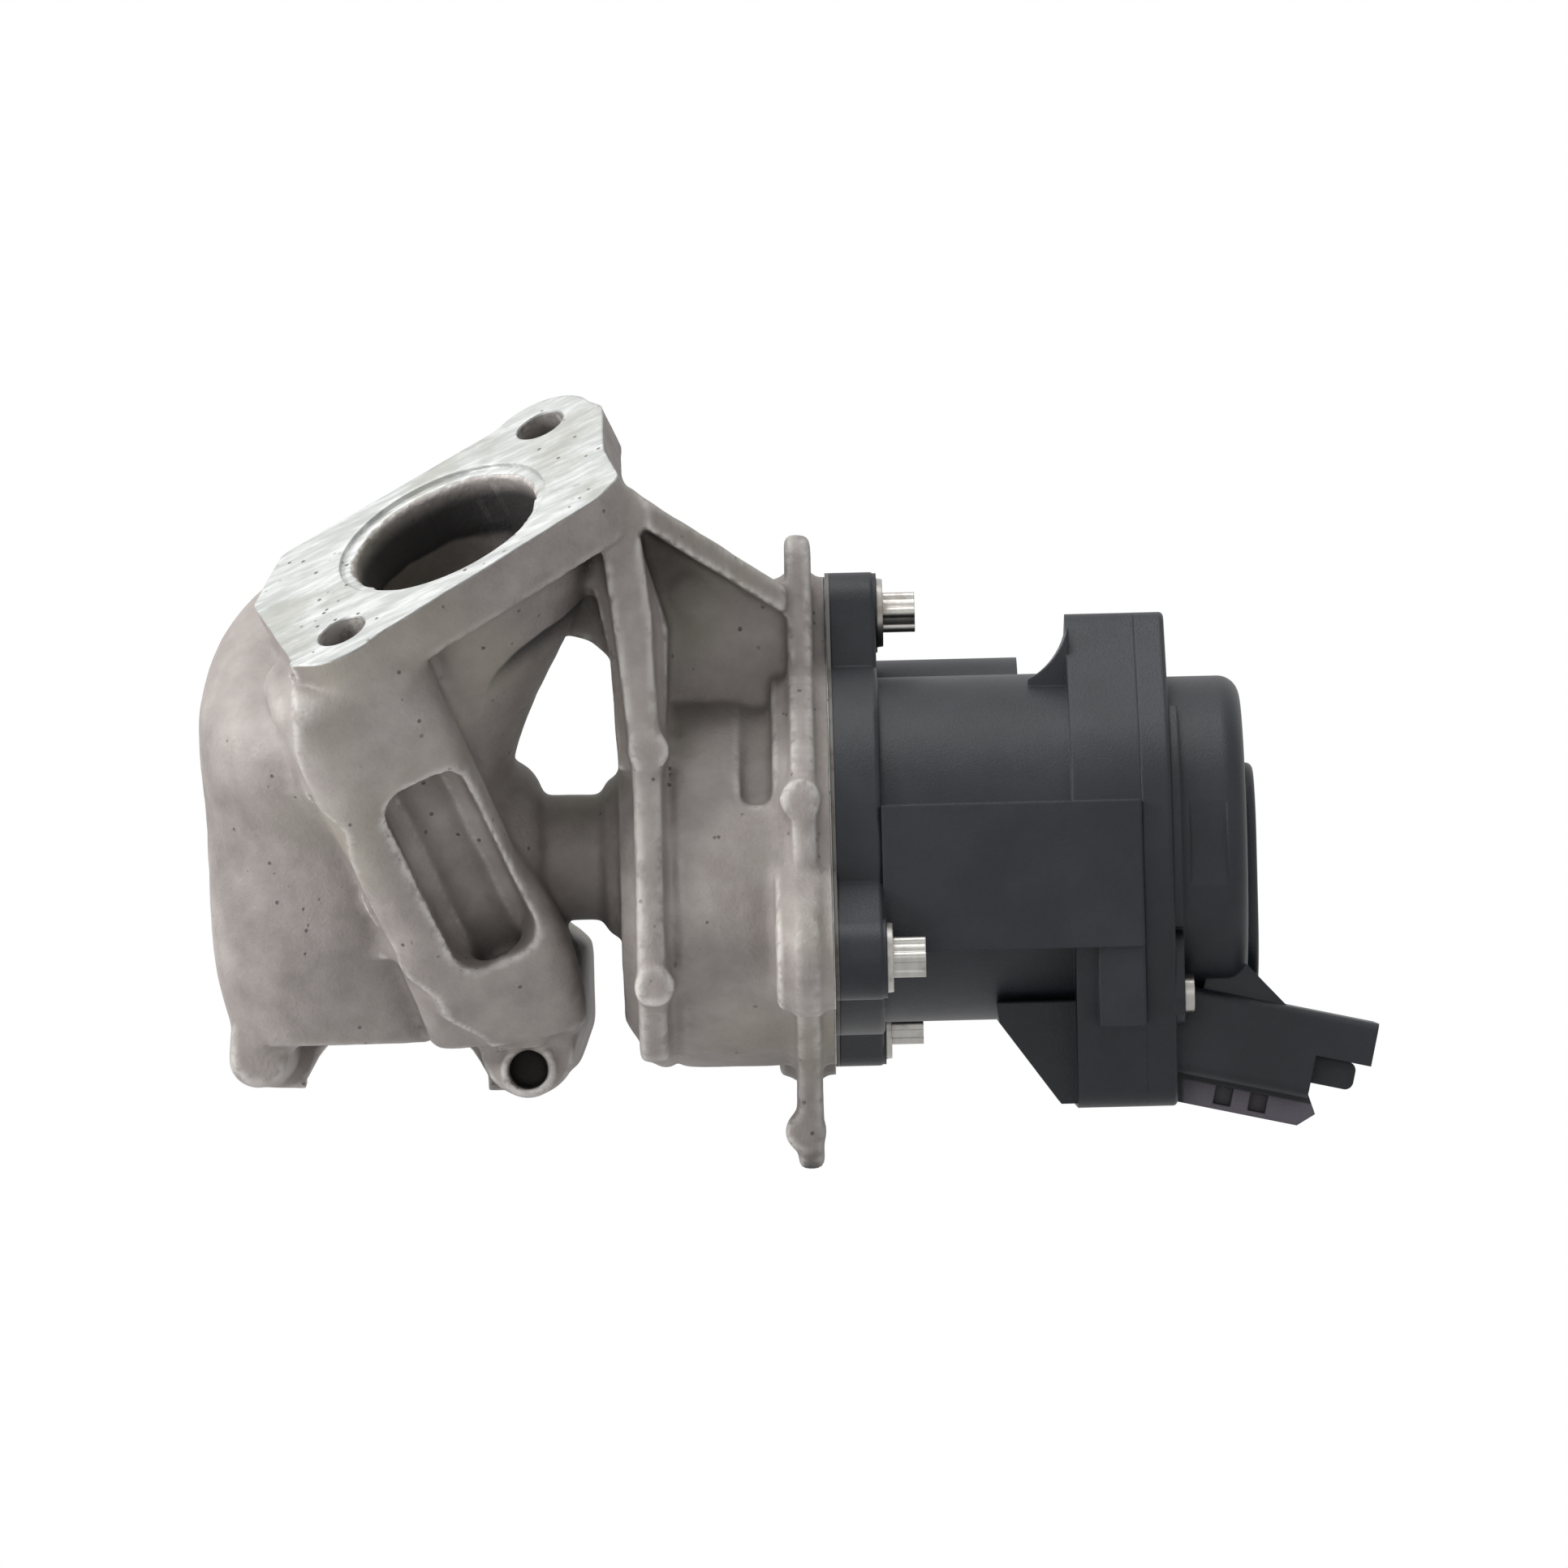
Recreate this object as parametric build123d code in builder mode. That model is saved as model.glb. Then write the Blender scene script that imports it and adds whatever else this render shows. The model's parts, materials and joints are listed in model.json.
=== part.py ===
from build123d import *
import os
from math import acos, atan2, cos, pi, radians, sin, sqrt, tan

os.makedirs("parts", exist_ok=True)

# Electric gas recirculation valve. The frame's origin is the centre of the gas outlet on the rear
# mounting face. X runs along the valve stem towards the actuator, Y away from the front, Z up.

# Main layout
stem_depth = 42.0
actuator_face = 85.5
gasket_thickness = 0.7
running_gap = 0.05
free_gap = 0.3

# Tilted inlet flange
inlet_x = 23.1
inlet_depth = 67.0
inlet_z = 54.6
inlet_lean = 24.3
inlet_pitch = 26.0
inlet_bore_r = 16.0
inlet_plate = 9.4
inlet_bolt_r = 4.25
inlet_bolt_pitch_r = 29.3
inlet_bolt_turn = 42.5
inlet_lobe_r = 8.7
inlet_corners = [
    (-26.0, 17.6),
    (-33.4, 4.2),
    (-31.0, -22.5),
    (-23.5, -28.6),
    (25.0, -16.2),
    (29.8, -12.1),
    (29.2, 0.0),
    (32.3, 16.0),
    (26.5, 27.6),
]
inlet_corner_r = 2.2
inlet_step_r = 18.3
inlet_step_depth = 0.8
upper_bolt_depth = 16.0

# Gas body
body_left = -17.8
body_bottom = -30.0
casting_wall = 4.6
duct_waist_x = 17.0
duct_waist_r = 17.0
inlet_chamber_r = 13.0
outlet_chamber_r = 14.5
outlet_chamber_left = -13.0
seat_wall_left = 8.5
seat_wall = 4.5
inlet_chamber_right = 28.0

# Bolt column with its slot in front
column_width = 27.0
column_depth = 24.0
column_start = 5.0
column_length = 52.0
column_shift = -3.0
column_edge_r = 7.5
plateau_rise = 1.0
slot_start = 27.0
slot_end = 63.0
slot_width = 15.0
slot_cut = 10.0
front_edge = 28.3

# Rear mounting face
port_r = 12.5
port_wall = 4.5
foot_plate = 9.0
right_foot_x = 34.7
right_foot_z = -34.8
right_foot_r = 7.8
right_foot_length = 50.0
foot_boss_r = 4.7
foot_pocket_r = 3.35
foot_pocket_depth = 12.0
left_foot_x = -9.9
left_foot_z = -32.0
left_foot_r = 5.6
left_foot_length = 46.0
upper_foot_x = 12.0
upper_foot_z = 25.0
upper_foot_r = 7.0
tapped_r = 2.5
tapped_depth = 14.0

# Neck and drum
neck_r = 10.4
neck_fillet = 3.0
drum_left = 50.8
drum_r = 31.0
drum_drop = 4.2
drum_wall = 7.2
drum_cavity_r = 24.0
drum_face_r = 23.0
drum_slope = 5.4
drum_groove = 1.0
drum_groove_width = 2.0
drum_recess_r = 26.3
drum_recess_left = 71.0
drum_recess_bottom = 8.0
fin_left = 53.3
fin_thickness = 4.8
fin_rise = 2.5
pad_r = 3.35
pad_rise = 0.7
fin_pad_heights = [17.3, -21.2]
flange_thickness = 9.5
keel_left = 78.9
keel_thickness = 4.3
keel_rise = 2.5
keel_tip = 52.4
keel_tip_r = 4.6
keel_pad_height = 8.7
actuator_lobe_r = [6.2, 8.2, 8.2]

# Gusset between inlet flange and actuator flange
web_thickness = 5.0
web_front = 52.0
rib_rise = 9.0
web_mark = (63.2, 42.7)
mark_rise = 0.5

# Actuator screws, as (distance behind the stem, height)
screw_places = [(7.5, 39.3), (-36.0, -17.3), (27.0, -29.5)]
screw_hole_r = 2.75
screw_r = 2.5
screw_flange_r = 5.75
screw_flange = 1.0
screw_head = 5.3
screw_lobes = 6
sleeve_r = 3.9

# Valve
seat_bore_r = 11.0
seat_outer_r = 13.5
seat_proud = 0.5
disc_r = 12.8
disc_thickness = 3.4
stem_r = 3.0
lift = 5.5
bush_r = 6.0
bush_left = 27.0
bush_right = 50.0
seal_r = 7.5
seal_thickness = 2.4
retainer_thickness = 1.0

# Return spring
spring_seat_thickness = 1.2
spring_mean_r = 10.0
spring_wire_r = 1.1
spring_left = 59.4
spring_right = 78.6
spring_turns = 5
spring_plate_thickness = 1.5
spring_plate_r = 13.0
clip_r = 5.2
clip_thickness = 1.0

# Actuator housing
actuator_flange = 7.5
actuator_boss_r = 6.8
barrel_r = 28.5
barrel_end = 126.0
pad_top = 7.3
pad_bottom = -16.6
pad_proud = 2.1
gear_plate_left = 124.9
cover_joint = 136.2
gear_floor = 127.4
plastic_wall = 2.5
guide_plate_r = 11.0
guide_plate_thickness = 3.0
nut_bore_r = 9.0

# Motor, behind and above the stem
motor_back = 20.0
motor_up = 16.5
motor_r = 12.5
motor_barrel_r = 15.0
motor_barrel_end = 117.2
motor_can_left = 87.4
end_cap_thickness = 3.0
motor_shaft_r = 1.15
armature_r = 8.8
armature_left = 95.5
armature_right = 109.0
armature_poles = 5
commutator_r = 3.2
magnet_inner_r = 9.4
can_wall = 1.1
tunnel_r = 6.0

# Gears
output_module = 1.0
output_teeth = 40
idler_small_teeth = 12
idler_module = 0.8
idler_large_teeth = 30
pinion_teeth = 10
pressure_angle = 20.0
backlash = 0.16
wheel_addendum = 0.65
wheel_dedendum = 1.2
small_addendum = 1.0
small_dedendum = 0.9
output_left = 128.2
output_width = 4.0
idler_pin_r = 1.5
large_gear_left = 132.6
large_gear_width = 2.8
pinion_left = 131.9
pinion_width = 4.2
hub_r = 8.0
hub_left = 104.0
nut_r = 4.6
spindle_r = 4.5
spindle_left = 96.0
spindle_right = 124.0
spindle_socket = 6.0
bearing_left = 116.0
bearing_width = 5.0
bearing_r = 13.0
ball_r = 1.5
ball_count = 9
race_inner_r = 9.4
race_outer_r = 11.6
journal_r = 6.0
journal_left = 139.0
journal_right = 146.0
bush_outer_r = 7.2
bush_length = 6.6
magnet_ring_r = 12.0
magnet_ring = 3.0

# Gear cover with dome and connector
cover_right = 141.2
dome_r = 27.5
dome_right = 153.4
dome_wall = 2.6
dome_edge = 3.6
crown_r = 13.0
crown_drop = 12.0
crown_right = 155.4
dome_ring_r = 29.0
dome_ring_right = 142.6
dome_ring_bottom = -13.6
dome_ring_top = 22.6
dome_flat = 0.9
boss_screw_r = 1.6
raised_screw = (-21.5, -24.6)
sunk_screws = [(-2.0, 33.0), (36.5, -15.0), (34.0, 20.0)]
cover_screw_length = 11.0
cover_screw_hole = 8.5
cover_screw_r = 1.55
seal_inset = 1.0
seal_width = 1.4
seal_height = 1.0
cover_screw_head_r = 3.2
cover_screw_head = 1.6
connector_tilt = 12.7
connector_start_x = 142.0
connector_y = -6.0
connector_start_z = -30.4
connector_width = 24.0
connector_height = 14.3
connector_length = 31.8
connector_wall = 1.5
socket_depth = 15.0
lower_wall_length = 22.6
tongue_width = 14.0
tongue_height = 4.6
tongue_length = 29.7
pin_count = 5
pin_pitch = 3.4
pin_width = 1.5
pin_height = 0.7
pin_end = 27.0
pin_up = 3.0
rail_width = 12.0
rail_height = 4.8
rail_length = 24.6
board_left = 141.0
board_thickness = 1.6
board_r = 21.0

# Sizes that follow
stem_y = -stem_depth
seat_wall_right = seat_wall_left + seat_wall
actuator_start = actuator_face + gasket_thickness
flange_left = actuator_face - flange_thickness
cover_screw_places = [raised_screw] + sunk_screws
motor_pitch_r = sqrt(motor_back**2 + motor_up**2)
output_pitch_r = output_module * output_teeth / 2
idler_small_r = output_module * idler_small_teeth / 2
idler_large_r = idler_module * idler_large_teeth / 2
pinion_r = idler_module * pinion_teeth / 2
inner_centres = output_pitch_r + idler_small_r
outer_centres = idler_large_r + pinion_r
idler_along = (inner_centres**2 - outer_centres**2 + motor_pitch_r**2) / (2 * motor_pitch_r)
idler_across = sqrt(inner_centres**2 - idler_along**2)
motor_angle = atan2(motor_up, motor_back)
idler_back = idler_along * cos(motor_angle) + idler_across * sin(motor_angle)
idler_up = idler_along * sin(motor_angle) - idler_across * cos(motor_angle)

inlet_normal = Vector(
    -sin(radians(inlet_lean)) * cos(radians(inlet_pitch)),
    -sin(radians(inlet_pitch)),
    cos(radians(inlet_lean)) * cos(radians(inlet_pitch)),
)
inlet_right = Vector(cos(radians(inlet_lean)), 0, sin(radians(inlet_lean)))
inlet_plane = Plane(origin=(inlet_x, -inlet_depth, inlet_z), x_dir=inlet_right, z_dir=inlet_normal)
bolt_p = inlet_bolt_pitch_r * cos(radians(inlet_bolt_turn))
bolt_q = inlet_bolt_pitch_r * sin(radians(inlet_bolt_turn))


def across(x, back=0.0, up=0.0):
    """A plane square to the stem at x, with its own x pointing back and its y up."""
    return Plane(origin=(x, stem_y + back, up), x_dir=(0, 1, 0), z_dir=(1, 0, 0))


def facing(y):
    """A plane square to Y at y, seen from the front: x to the right and z up."""
    return Plane(origin=(0, y, 0), x_dir=(1, 0, 0), z_dir=(0, -1, 0))


def tube(x, outer, inner, length, back=0.0, up=0.0):
    """A ring or tube along the stem direction."""
    with BuildPart(across(x, back, up)) as ring:
        Cylinder(outer, length, align=(Align.CENTER, Align.CENTER, Align.MIN))
        Cylinder(inner, length, align=(Align.CENTER, Align.CENTER, Align.MIN), mode=Mode.SUBTRACT)
    return ring.part


def gear_points(module, teeth, addendum, dedendum, first_tooth):
    """Corner and flank points of each tooth of a spur gear with involute flanks."""
    pitch_r = module * teeth / 2
    base_r = pitch_r * cos(radians(pressure_angle))
    tip_r = pitch_r + addendum * module
    root_r = pitch_r - dedendum * module
    half_pitch_angle = pi / (2 * teeth) - backlash / (4 * pitch_r)

    def involute(angle):
        return tan(angle) - angle

    def half_width(radius):
        angle = acos(min(1.0, base_r / radius))
        return half_pitch_angle + involute(radians(pressure_angle)) - involute(angle)

    start_r = max(base_r, root_r)
    middle_r = (start_r + tip_r) / 2
    rows = []
    for tooth in range(teeth):
        middle = first_tooth + 2 * pi * tooth / teeth
        row = []
        for radius, side in (
            (root_r, -1),
            (start_r, -1),
            (middle_r, -1),
            (tip_r, -1),
            (tip_r, 1),
            (middle_r, 1),
            (start_r, 1),
            (root_r, 1),
        ):
            angle = middle + side * half_width(max(radius, start_r))
            row.append((radius * cos(angle), radius * sin(angle)))
        rows.append(row)
    return rows


def gear_blank(plane, module, teeth, addendum, dedendum, first_tooth, width, bore):
    """A spur gear extruded from its tooth outline, with a bore."""
    rows = gear_points(module, teeth, addendum, dedendum, first_tooth)
    with BuildPart() as gear:
        with BuildSketch(plane):
            with BuildLine():
                for number, row in enumerate(rows):
                    following = rows[(number + 1) % teeth][0]
                    if abs(row[0][0] - row[1][0]) + abs(row[0][1] - row[1][1]) > 1e-6:
                        Line(row[0], row[1])
                    ThreePointArc(row[1], row[2], row[3])
                    Line(row[3], row[4])
                    ThreePointArc(row[4], row[5], row[6])
                    if abs(row[6][0] - row[7][0]) + abs(row[6][1] - row[7][1]) > 1e-6:
                        Line(row[6], row[7])
                    Line(row[7], following)
            make_face()
            Circle(bore, mode=Mode.SUBTRACT)
        extrude(amount=width)
    return gear.part


def section(x, y, z, lean, pitch):
    """A plane square to a duct that leans left and to the front, with its own x pointing back."""
    normal = Vector(
        -sin(radians(lean)) * cos(radians(pitch)),
        -sin(radians(pitch)),
        cos(radians(lean)) * cos(radians(pitch)),
    )
    right = Vector(cos(radians(lean)), 0, sin(radians(lean)))
    return Plane(origin=(x, y, z), x_dir=normal.cross(right), z_dir=normal)


# Valve housing: inlet flange

with BuildPart() as inlet_flange:
    with BuildSketch(inlet_plane):
        with BuildLine():
            Polyline(*inlet_corners, close=True)
        make_face()
        fillet(vertices(), inlet_corner_r)
        with Locations((bolt_p, bolt_q), (-bolt_p, -bolt_q)):
            Circle(inlet_lobe_r)
    extrude(amount=-inlet_plate)
    fillet(inlet_flange.faces().sort_by(Axis((0, 0, 0), inlet_normal))[0].edges(), 1.6)

# Inlet duct, from under the flange to the middle of the body
inlet_mouth = section(inlet_x, -inlet_depth, inlet_z, inlet_lean, inlet_pitch)
inlet_duct_sections = [
    (inlet_mouth.offset(-inlet_plate / 2), inlet_bore_r + casting_wall, inlet_bore_r + casting_wall),
    (section(25.2, stem_y - 13.0, 37.0, 14, 19), 20.4, 20.6),
    (section(duct_waist_x, stem_y - 5.5, 18.0, 0, 8), duct_waist_r, 20.2),
    (section(duct_waist_x - 1.0, stem_y - 1.0, 0.0, 0, 0), duct_waist_r + 1.2, 19.5),
    (section(duct_waist_x - 1.0, stem_y, -16.0, 0, 0), duct_waist_r + 1.2, 18.0),
]
with BuildPart() as inlet_duct:
    for place, across_r, deep_r in inlet_duct_sections:
        with BuildSketch(place):
            Ellipse(deep_r, across_r)
    loft()

# Rounded gas body on the left
left_body_sections = [
    (section(8.0, stem_y - 10.0, 47.0, 15, 26), 11.0, 12.0),
    (section(6.0, stem_y - 9.0, 42.5, 10, 26), 17.3, 18.0),
    (section(body_left + 19.3, stem_y - 13.0, 30.0, 8, 22), 19.0, 24.0),
    (section(body_left + 20.0, stem_y - 5.0, 13.0, 0, 14), 20.0, 23.0),
    (section(body_left + 20.4, stem_y, -7.0, 0, 0), 20.0, 19.6),
    (section(body_left + 20.4, stem_y + 2.0, -22.0, 0, 0), 18.4, 16.5),
    (section(body_left + 20.4, stem_y + 3.0, body_bottom, 0, 0), 15.5, 12.0),
]
with BuildPart() as left_body:
    for place, across_r, deep_r in left_body_sections:
        with BuildSketch(place):
            Ellipse(deep_r, across_r)
    loft()

# Slightly raised area on the front of the body, with an S-shaped left edge
with BuildPart() as plateau:
    for place, across_r, deep_r in left_body_sections:
        with BuildSketch(place):
            Ellipse(deep_r + plateau_rise, across_r + plateau_rise)
    loft()
    with BuildSketch(facing(stem_y - 8.0)):
        with BuildLine():
            p1 = Spline((-6.0, 41.0), (-1.7, 24.8), (-1.4, 11.3), (5.8, 3.1), (9.6, -6.4), (22.7, -20.1))
            p2 = Line(p1 @ 1, (30.0, 0.0))
            p3 = Line(p2 @ 1, (20.0, 44.0))
            Line(p3 @ 1, p1 @ 0)
        make_face()
    extrude(amount=inlet_depth, mode=Mode.INTERSECT)

# Bolt column, which runs down from the flange along the front
column_p = -bolt_p + column_shift
column_q = -front_edge + column_depth / 2
with BuildPart() as bolt_column:
    with BuildSketch(inlet_plane.offset(-column_start)):
        with Locations((column_p, column_q)):
            RectangleRounded(column_width, column_depth, column_edge_r)
    extrude(amount=column_start - column_length, taper=1.5)
    fillet(bolt_column.faces().sort_by(Axis((0, 0, 0), inlet_normal))[-1].edges(), 4.0)

# Lower end of the column, which bends down into the right foot
column_foot_sections = [
    (section(22.1, stem_y - 17.7, -3.0, inlet_lean, inlet_pitch), 21.7, 24.7),
    (section(29.0, stem_y - 8.5, -17.0, 16, 18), 23.0, 27.5),
    (section(31.6, stem_y, -29.0, 6, 8), 19.0, 26.0),
]
with BuildPart() as column_foot:
    for place, deep, wide in column_foot_sections:
        with BuildSketch(place):
            RectangleRounded(deep, wide, column_edge_r - 1.2)
    loft()
    fillet(column_foot.faces().sort_by(Axis.Z)[0].edges(), 3.0)

# Boss under the upper inlet bolt
with BuildPart() as upper_boss:
    with BuildSketch(inlet_plane.offset(-1.0)):
        with Locations((bolt_p, bolt_q)):
            Circle(inlet_lobe_r - 0.4)
    extrude(amount=-upper_bolt_depth - 3.0, taper=2)

# Lower right block that carries the right foot
with BuildPart() as foot_block:
    with BuildSketch(facing(-foot_plate / 2)):
        with BuildLine():
            Polyline(
                (16.0, -6.0),
                (35.5, -6.5),
                (45.4, -14.0),
                (45.4, -27.5),
                (right_foot_x + right_foot_r - 0.6, right_foot_z - 2.0),
                (right_foot_x - right_foot_r + 0.8, right_foot_z + 3.4),
                (16.0, body_bottom),
                close=True,
            )
        make_face()
        fillet(vertices(), 3.0)
    extrude(amount=right_foot_length - 6.0, taper=2)
    fillet(foot_block.faces().sort_by(Axis.Y)[0].edges(), 3.0)

with BuildPart() as feet:
    with BuildSketch(facing(0.0)):
        with Locations((right_foot_x, right_foot_z + 3.4)):
            Circle(right_foot_r)
    extrude(amount=right_foot_length - 2.0)
    with BuildSketch(facing(0.0)):
        with Locations((right_foot_x, right_foot_z)):
            Circle(foot_boss_r)
    extrude(amount=right_foot_length)
    with BuildSketch(facing(0.0)):
        with Locations((left_foot_x, left_foot_z)):
            Circle(left_foot_r)
        with Locations((left_foot_x + 1.0, left_foot_z + 12.0)):
            Circle(left_foot_r)
        make_hull()
    extrude(amount=left_foot_length, taper=1)
    fillet(feet.faces().filter_by(Axis.Y).sort_by(Axis.Y)[2].edges(), 1.5)
    fillet(feet.faces().filter_by(Axis.Y).sort_by(Axis.Y)[0].edges(), 0.8)

# Rear outlet pipe with the mounting plate
with BuildPart() as outlet_mount:
    with BuildSketch(facing(0.0)):
        Circle(port_r + port_wall)
        with Locations((right_foot_x, right_foot_z + 3.4)):
            Circle(right_foot_r)
        with Locations((left_foot_x, left_foot_z)):
            Circle(left_foot_r)
        with Locations((upper_foot_x, upper_foot_z)):
            Circle(upper_foot_r)
        make_hull()
    extrude(amount=foot_plate)
    with BuildSketch(facing(0.0)):
        Circle(port_r + port_wall)
    extrude(amount=stem_depth - outlet_chamber_r)
    with BuildSketch(facing(0.0)):
        with Locations((upper_foot_x, upper_foot_z)):
            Circle(upper_foot_r)
    extrude(amount=stem_depth - outlet_chamber_r)

# Neck, drum and actuator flange
with BuildPart() as neck:
    with BuildSketch(Plane(origin=(0, stem_y, 0), x_dir=(1, 0, 0), z_dir=(0, -1, 0))):
        with BuildLine():
            l1 = Line((inlet_chamber_right - 8, 0), (drum_left + 2, 0))
            l2 = Line(l1 @ 1, (drum_left + 2, neck_r + neck_fillet))
            l3 = Line(l2 @ 1, (drum_left, neck_r + neck_fillet))
            l4 = RadiusArc(l3 @ 1, (drum_left - neck_fillet, neck_r), -neck_fillet)
            l5 = Line(l4 @ 1, (inlet_chamber_right + 10.0, neck_r))
            l6 = RadiusArc(l5 @ 1, (inlet_chamber_right + 4.0, neck_r + 6.0), -6.0)
            l7 = Line(l6 @ 1, (inlet_chamber_right - 8, neck_r + 6.0))
            Line(l7 @ 1, l1 @ 0)
        make_face()
    revolve(axis=Axis((0, stem_y, 0), (1, 0, 0)))

drum_axis = Axis((0, stem_y, -drum_drop), (1, 0, 0))
groove_left = fin_left + fin_thickness + free_gap
with BuildPart() as drum:
    with BuildSketch(Plane(origin=(0, stem_y, -drum_drop), x_dir=(1, 0, 0), z_dir=(0, -1, 0))):
        with BuildLine():
            Polyline(
                (drum_left, 0.0),
                (drum_left, drum_face_r),
                (drum_left + drum_slope, drum_r),
                (groove_left, drum_r),
                (groove_left, drum_r - drum_groove),
                (groove_left + drum_groove_width, drum_r - drum_groove),
                (groove_left + drum_groove_width, drum_r),
                (flange_left + 2.0, drum_r),
                (flange_left + 2.0, 0.0),
                close=True,
            )
        make_face()
    revolve(axis=drum_axis)
    fillet(drum.faces().sort_by(Axis.X)[0].edges(), 1.5)
    with BuildSketch(across(drum_recess_left)):
        Circle(drum_r + drum_drop)
        Circle(drum_recess_r, mode=Mode.SUBTRACT)
        with Locations((0, drum_recess_bottom)):
            Rectangle(2 * drum_r, 2 * drum_r, align=(Align.MAX, Align.MIN), mode=Mode.INTERSECT)
    extrude(amount=flange_left - drum_recess_left, mode=Mode.SUBTRACT)

# Straight ridge down the front of the drum
ridge = drum_r + fin_rise
with BuildPart() as fin:
    with BuildSketch(across(fin_left)):
        with BuildLine():
            Polyline(
                (0.0, 20.0),
                (-ridge, 20.0),
                (-ridge, fin_pad_heights[1] - 1.5),
                (-ridge / 2, -drum_r - 2.6),
                (0.0, -drum_r - drum_drop + 1.0),
                close=True,
            )
        make_face()
        fillet(vertices().group_by(Axis.X)[0], 3.0)
    extrude(amount=fin_thickness)
    fillet(fin.faces().sort_by(Axis.Y)[0].edges().filter_by(Axis.Z), 1.4)
    with BuildSketch(facing(stem_y - ridge - pad_rise)):
        with Locations(*[(fin_left + fin_thickness / 2 + 0.4, height) for height in fin_pad_heights]):
            Circle(pad_r)
    extrude(amount=-10.0, taper=-1)

with BuildPart() as keel_pads:
    with BuildSketch(facing(stem_y - drum_r - keel_rise)):
        with Locations((keel_left + keel_thickness / 2 - 0.5, keel_pad_height)):
            Circle(pad_r)
    extrude(amount=-8.0, taper=-1)
    with BuildSketch(facing(stem_y - 2 * keel_tip_r - pad_rise)):
        with Locations((keel_left + keel_thickness / 2 - 0.8, keel_tip_r / 2 + 4.0 - keel_tip)):
            Circle(pad_r)
    extrude(amount=-8.0, taper=-1)

with BuildPart() as actuator_plate:
    for rise, start, thickness in (
        (0.0, flange_left, flange_thickness),
        (keel_rise, keel_left, keel_thickness),
    ):
        with BuildSketch(across(start)) as plate_outline:
            Circle(drum_r + rise)
            with Locations((0, -drum_drop)):
                Circle(drum_r + rise)
            with Locations((motor_back, motor_up)):
                Circle(motor_barrel_r + rise / 2)
            for place, lobe_r in zip(screw_places, actuator_lobe_r):
                with BuildSketch(mode=Mode.PRIVATE) as arm:
                    with Locations(place):
                        Circle(lobe_r + rise / 2)
                    with Locations((place[0] * 0.55, place[1] * 0.55)):
                        Circle(lobe_r + 5.0)
                    make_hull()
                add(arm.sketch)
            if rise > 0:
                for side in (-1, 1):
                    with BuildSketch(mode=Mode.PRIVATE) as ear:
                        with Locations((-5.0, side * (keel_tip - keel_tip_r))):
                            Circle(keel_tip_r)
                        with Locations((-3.0, side * 24.0)):
                            Circle(keel_tip_r + 9.0)
                        make_hull()
                    add(ear.sketch)
        extrude(amount=thickness)
    fillet(actuator_plate.faces().sort_by(Axis.X)[0].edges(), 1.0)

# Rib that climbs from the drum to the right corner of the inlet flange, the recessed web and its
# sloping top rib
rib_front = ridge - stem_y
gusset_lines = {
    "bridge": [(38.0, 38.0), (46.6, 35.7), (49.6, 33.0), (53.0, 33.0), (53.0, 57.0), (44.0, 57.0)],
    "base": [(51.0, 14.0), (50.0, 33.0), (47.2, 46.0), (45.5, 57.0), (52.5, 60.5), (59.6, 37.5), (58.6, 14.0)],
    "rib": [(53.4, 14.0), (50.8, 38.0), (48.4, 57.0), (54.5, 60.5), (57.0, 40.0), (58.1, 14.0)],
    "top": [(46.0, 58.0), (52.4, 61.0), (flange_left + 3.0, 43.5), (flange_left + 3.0, 39.0), (53.0, 55.5)],
    "web": [(50.0, 57.0), (53.0, 58.5), (flange_left + 3.0, 43.0), (flange_left + 3.0, 20.0), (54.0, 20.0)],
}
with BuildPart() as gusset:
    for name, front, back in (
        ("base", rib_front - rib_rise, web_front - web_thickness),
        ("rib", rib_front, web_front - web_thickness),
        ("top", rib_front, web_front - web_thickness),
        ("web", web_front, web_front - web_thickness),
        ("bridge", web_front, web_front - web_thickness),
    ):
        with BuildSketch(facing(-back)):
            with BuildLine():
                Polyline(*gusset_lines[name], close=True)
            make_face()
        extrude(amount=front - back)
    with BuildSketch(Plane.XY):
        with BuildLine():
            Polyline(
                (40.0, -web_front + web_thickness),
                (flange_left + 4.0, -web_front + web_thickness),
                (flange_left + 4.0, -web_front - 6.0),
                (60.0, -rib_front + 3.0),
                (57.0, -rib_front),
                (40.0, -rib_front),
                close=True,
            )
        make_face()
    extrude(amount=inlet_z + 30.0, mode=Mode.INTERSECT)
    with BuildSketch(facing(-web_front)):
        with Locations(web_mark):
            Circle(pad_r)
    extrude(amount=mark_rise)

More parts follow.
